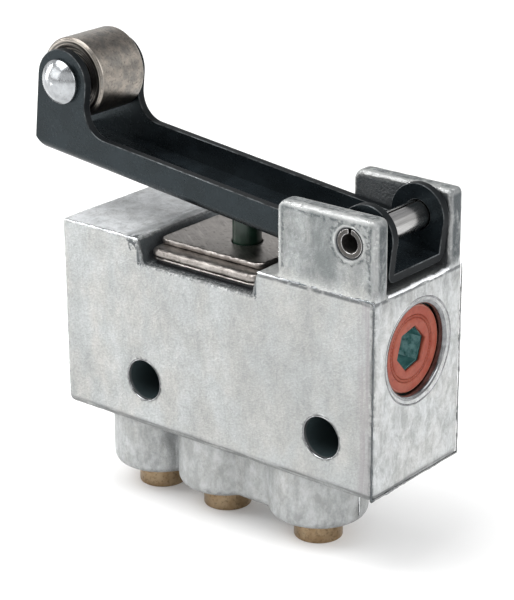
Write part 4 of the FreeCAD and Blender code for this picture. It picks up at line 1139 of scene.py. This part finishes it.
floor_paper = bpy.data.materials.new("floor_paper")
floor_paper.use_nodes = True
tree = floor_paper.node_tree
tree.nodes.clear()
matt = add_node(tree, "BsdfDiffuse", {"Color": FLOOR_WHITE})
place = add_node(tree, "TexCoord").outputs["Object"]
from_valve = add_node(tree, "VectorMath", {0: place}, operation="LENGTH").outputs["Value"]
glow_strength = remap(tree, from_valve, *GLOW_DISTANCE, *GLOW_STRENGTH)
glow = add_node(tree, "Emission", {"Color": WHITE, "Strength": glow_strength})
lifted = add_node(tree, "AddShader", {0: matt.outputs[0], 1: glow.outputs[0]})
paper = add_node(tree, "MixShader", {0: shows_background(tree), 1: matt.outputs[0], 2: lifted.outputs[0]})
add_node(tree, "OutputMaterial", {"Surface": paper.outputs[0]})

floor_corners = [(FLOOR_HALF * x, FLOOR_HALF * y, FLOOR_Z) for x, y in ((-1, -1), (1, -1), (1, 1), (-1, 1))]
mesh = bpy.data.meshes.new("floor")
mesh.from_pydata(floor_corners, [], [(0, 1, 2, 3)])
mesh.materials.append(floor_paper)
floor = bpy.data.objects.new("floor", mesh)
bpy.context.scene.collection.objects.link(floor)

world = bpy.data.worlds.new("studio")
bpy.context.scene.world = world
world.use_nodes = True
tree = world.node_tree
tree.nodes.clear()
way = add_node(tree, "SeparateXYZ", {"Vector": add_node(tree, "TexCoord").outputs["Generated"]}).outputs
to_camera = add_node(tree, "LightPath").outputs["Is Camera Ray"]
walls = layered(
    tree,
    WHITE,
    (remap(tree, way["Z"], *SKIRTING_HEIGHT, at_end=0.6), SKIRTING_GREY),
    (remap(tree, way["Z"], *CEILING_HEIGHT), CEILING_GREY),
    (to_camera, WHITE),
)
room = add_node(tree, "Background", {"Color": WHITE, "Strength": ROOM_STRENGTH})
white = add_node(tree, "Background", {"Color": walls, "Strength": 1.0})
both = add_node(tree, "MixShader", {0: shows_background(tree), 1: room.outputs[0], 2: white.outputs[0]})
add_node(tree, "OutputWorld", {"Surface": both.outputs[0]})


def soft_box(name, place, size, power):
    """A rectangular area lamp that looks at the valve."""
    lamp = bpy.data.lights.new(name, "AREA")
    lamp.shape = "RECTANGLE"
    lamp.size, lamp.size_y = size
    lamp.energy = power
    holder = bpy.data.objects.new(name, lamp)
    holder.location = place
    holder.rotation_euler = (Vector(LAMP_TARGET) - Vector(place)).to_track_quat("-Z", "Y").to_euler()
    bpy.context.scene.collection.objects.link(holder)


soft_box("key_over_left", place=(-0.15, -0.19, 0.53), size=(0.45, 0.45), power=3.0)
soft_box("fill_front", place=(-0.14, -0.20, 0.11), size=(0.16, 0.14), power=0.115)
soft_box("strip_left", place=(-0.42, -0.14, 0.11), size=(0.06, 0.25), power=0.7)
soft_box("fill_right", place=(0.60, 0.12, 0.38), size=(0.5, 0.5), power=3.1)

# Camera.
# It stands where the photograph was taken from: it was fitted to the block's corners and holes
# as the photograph shows them.

CAMERA_PLACE = (0.14163, -0.17654, 0.09693)
AZIMUTH, ELEVATION, ROLL = (math.radians(angle) for angle in (39.25, 20.93, -0.35))
SENSOR_MM = 36.0
FOCAL_PIXELS = 2174
LONG_SIDE_PIXELS = 600
CLIP_START = 0.01

outward = Vector((math.sin(AZIMUTH), -math.cos(AZIMUTH), 0))
back = outward * math.cos(ELEVATION) + Vector((0, 0, math.sin(ELEVATION)))
level = Vector((math.cos(AZIMUTH), math.sin(AZIMUTH), 0))
upright = back.cross(level)
right = level * math.cos(ROLL) + upright * math.sin(ROLL)
up = upright * math.cos(ROLL) - level * math.sin(ROLL)
lens = bpy.data.cameras.new("camera")
lens.sensor_width = SENSOR_MM
lens.lens = SENSOR_MM * FOCAL_PIXELS / LONG_SIDE_PIXELS
lens.clip_start = CLIP_START
camera = bpy.data.objects.new("camera", lens)
camera.matrix_world = Matrix(
    [[right[i], up[i], back[i], CAMERA_PLACE[i]] for i in range(3)] + [[0, 0, 0, 1]]
)
bpy.context.scene.collection.objects.link(camera)
bpy.context.scene.camera = camera
bpy.context.scene.view_settings.view_transform = "Standard"
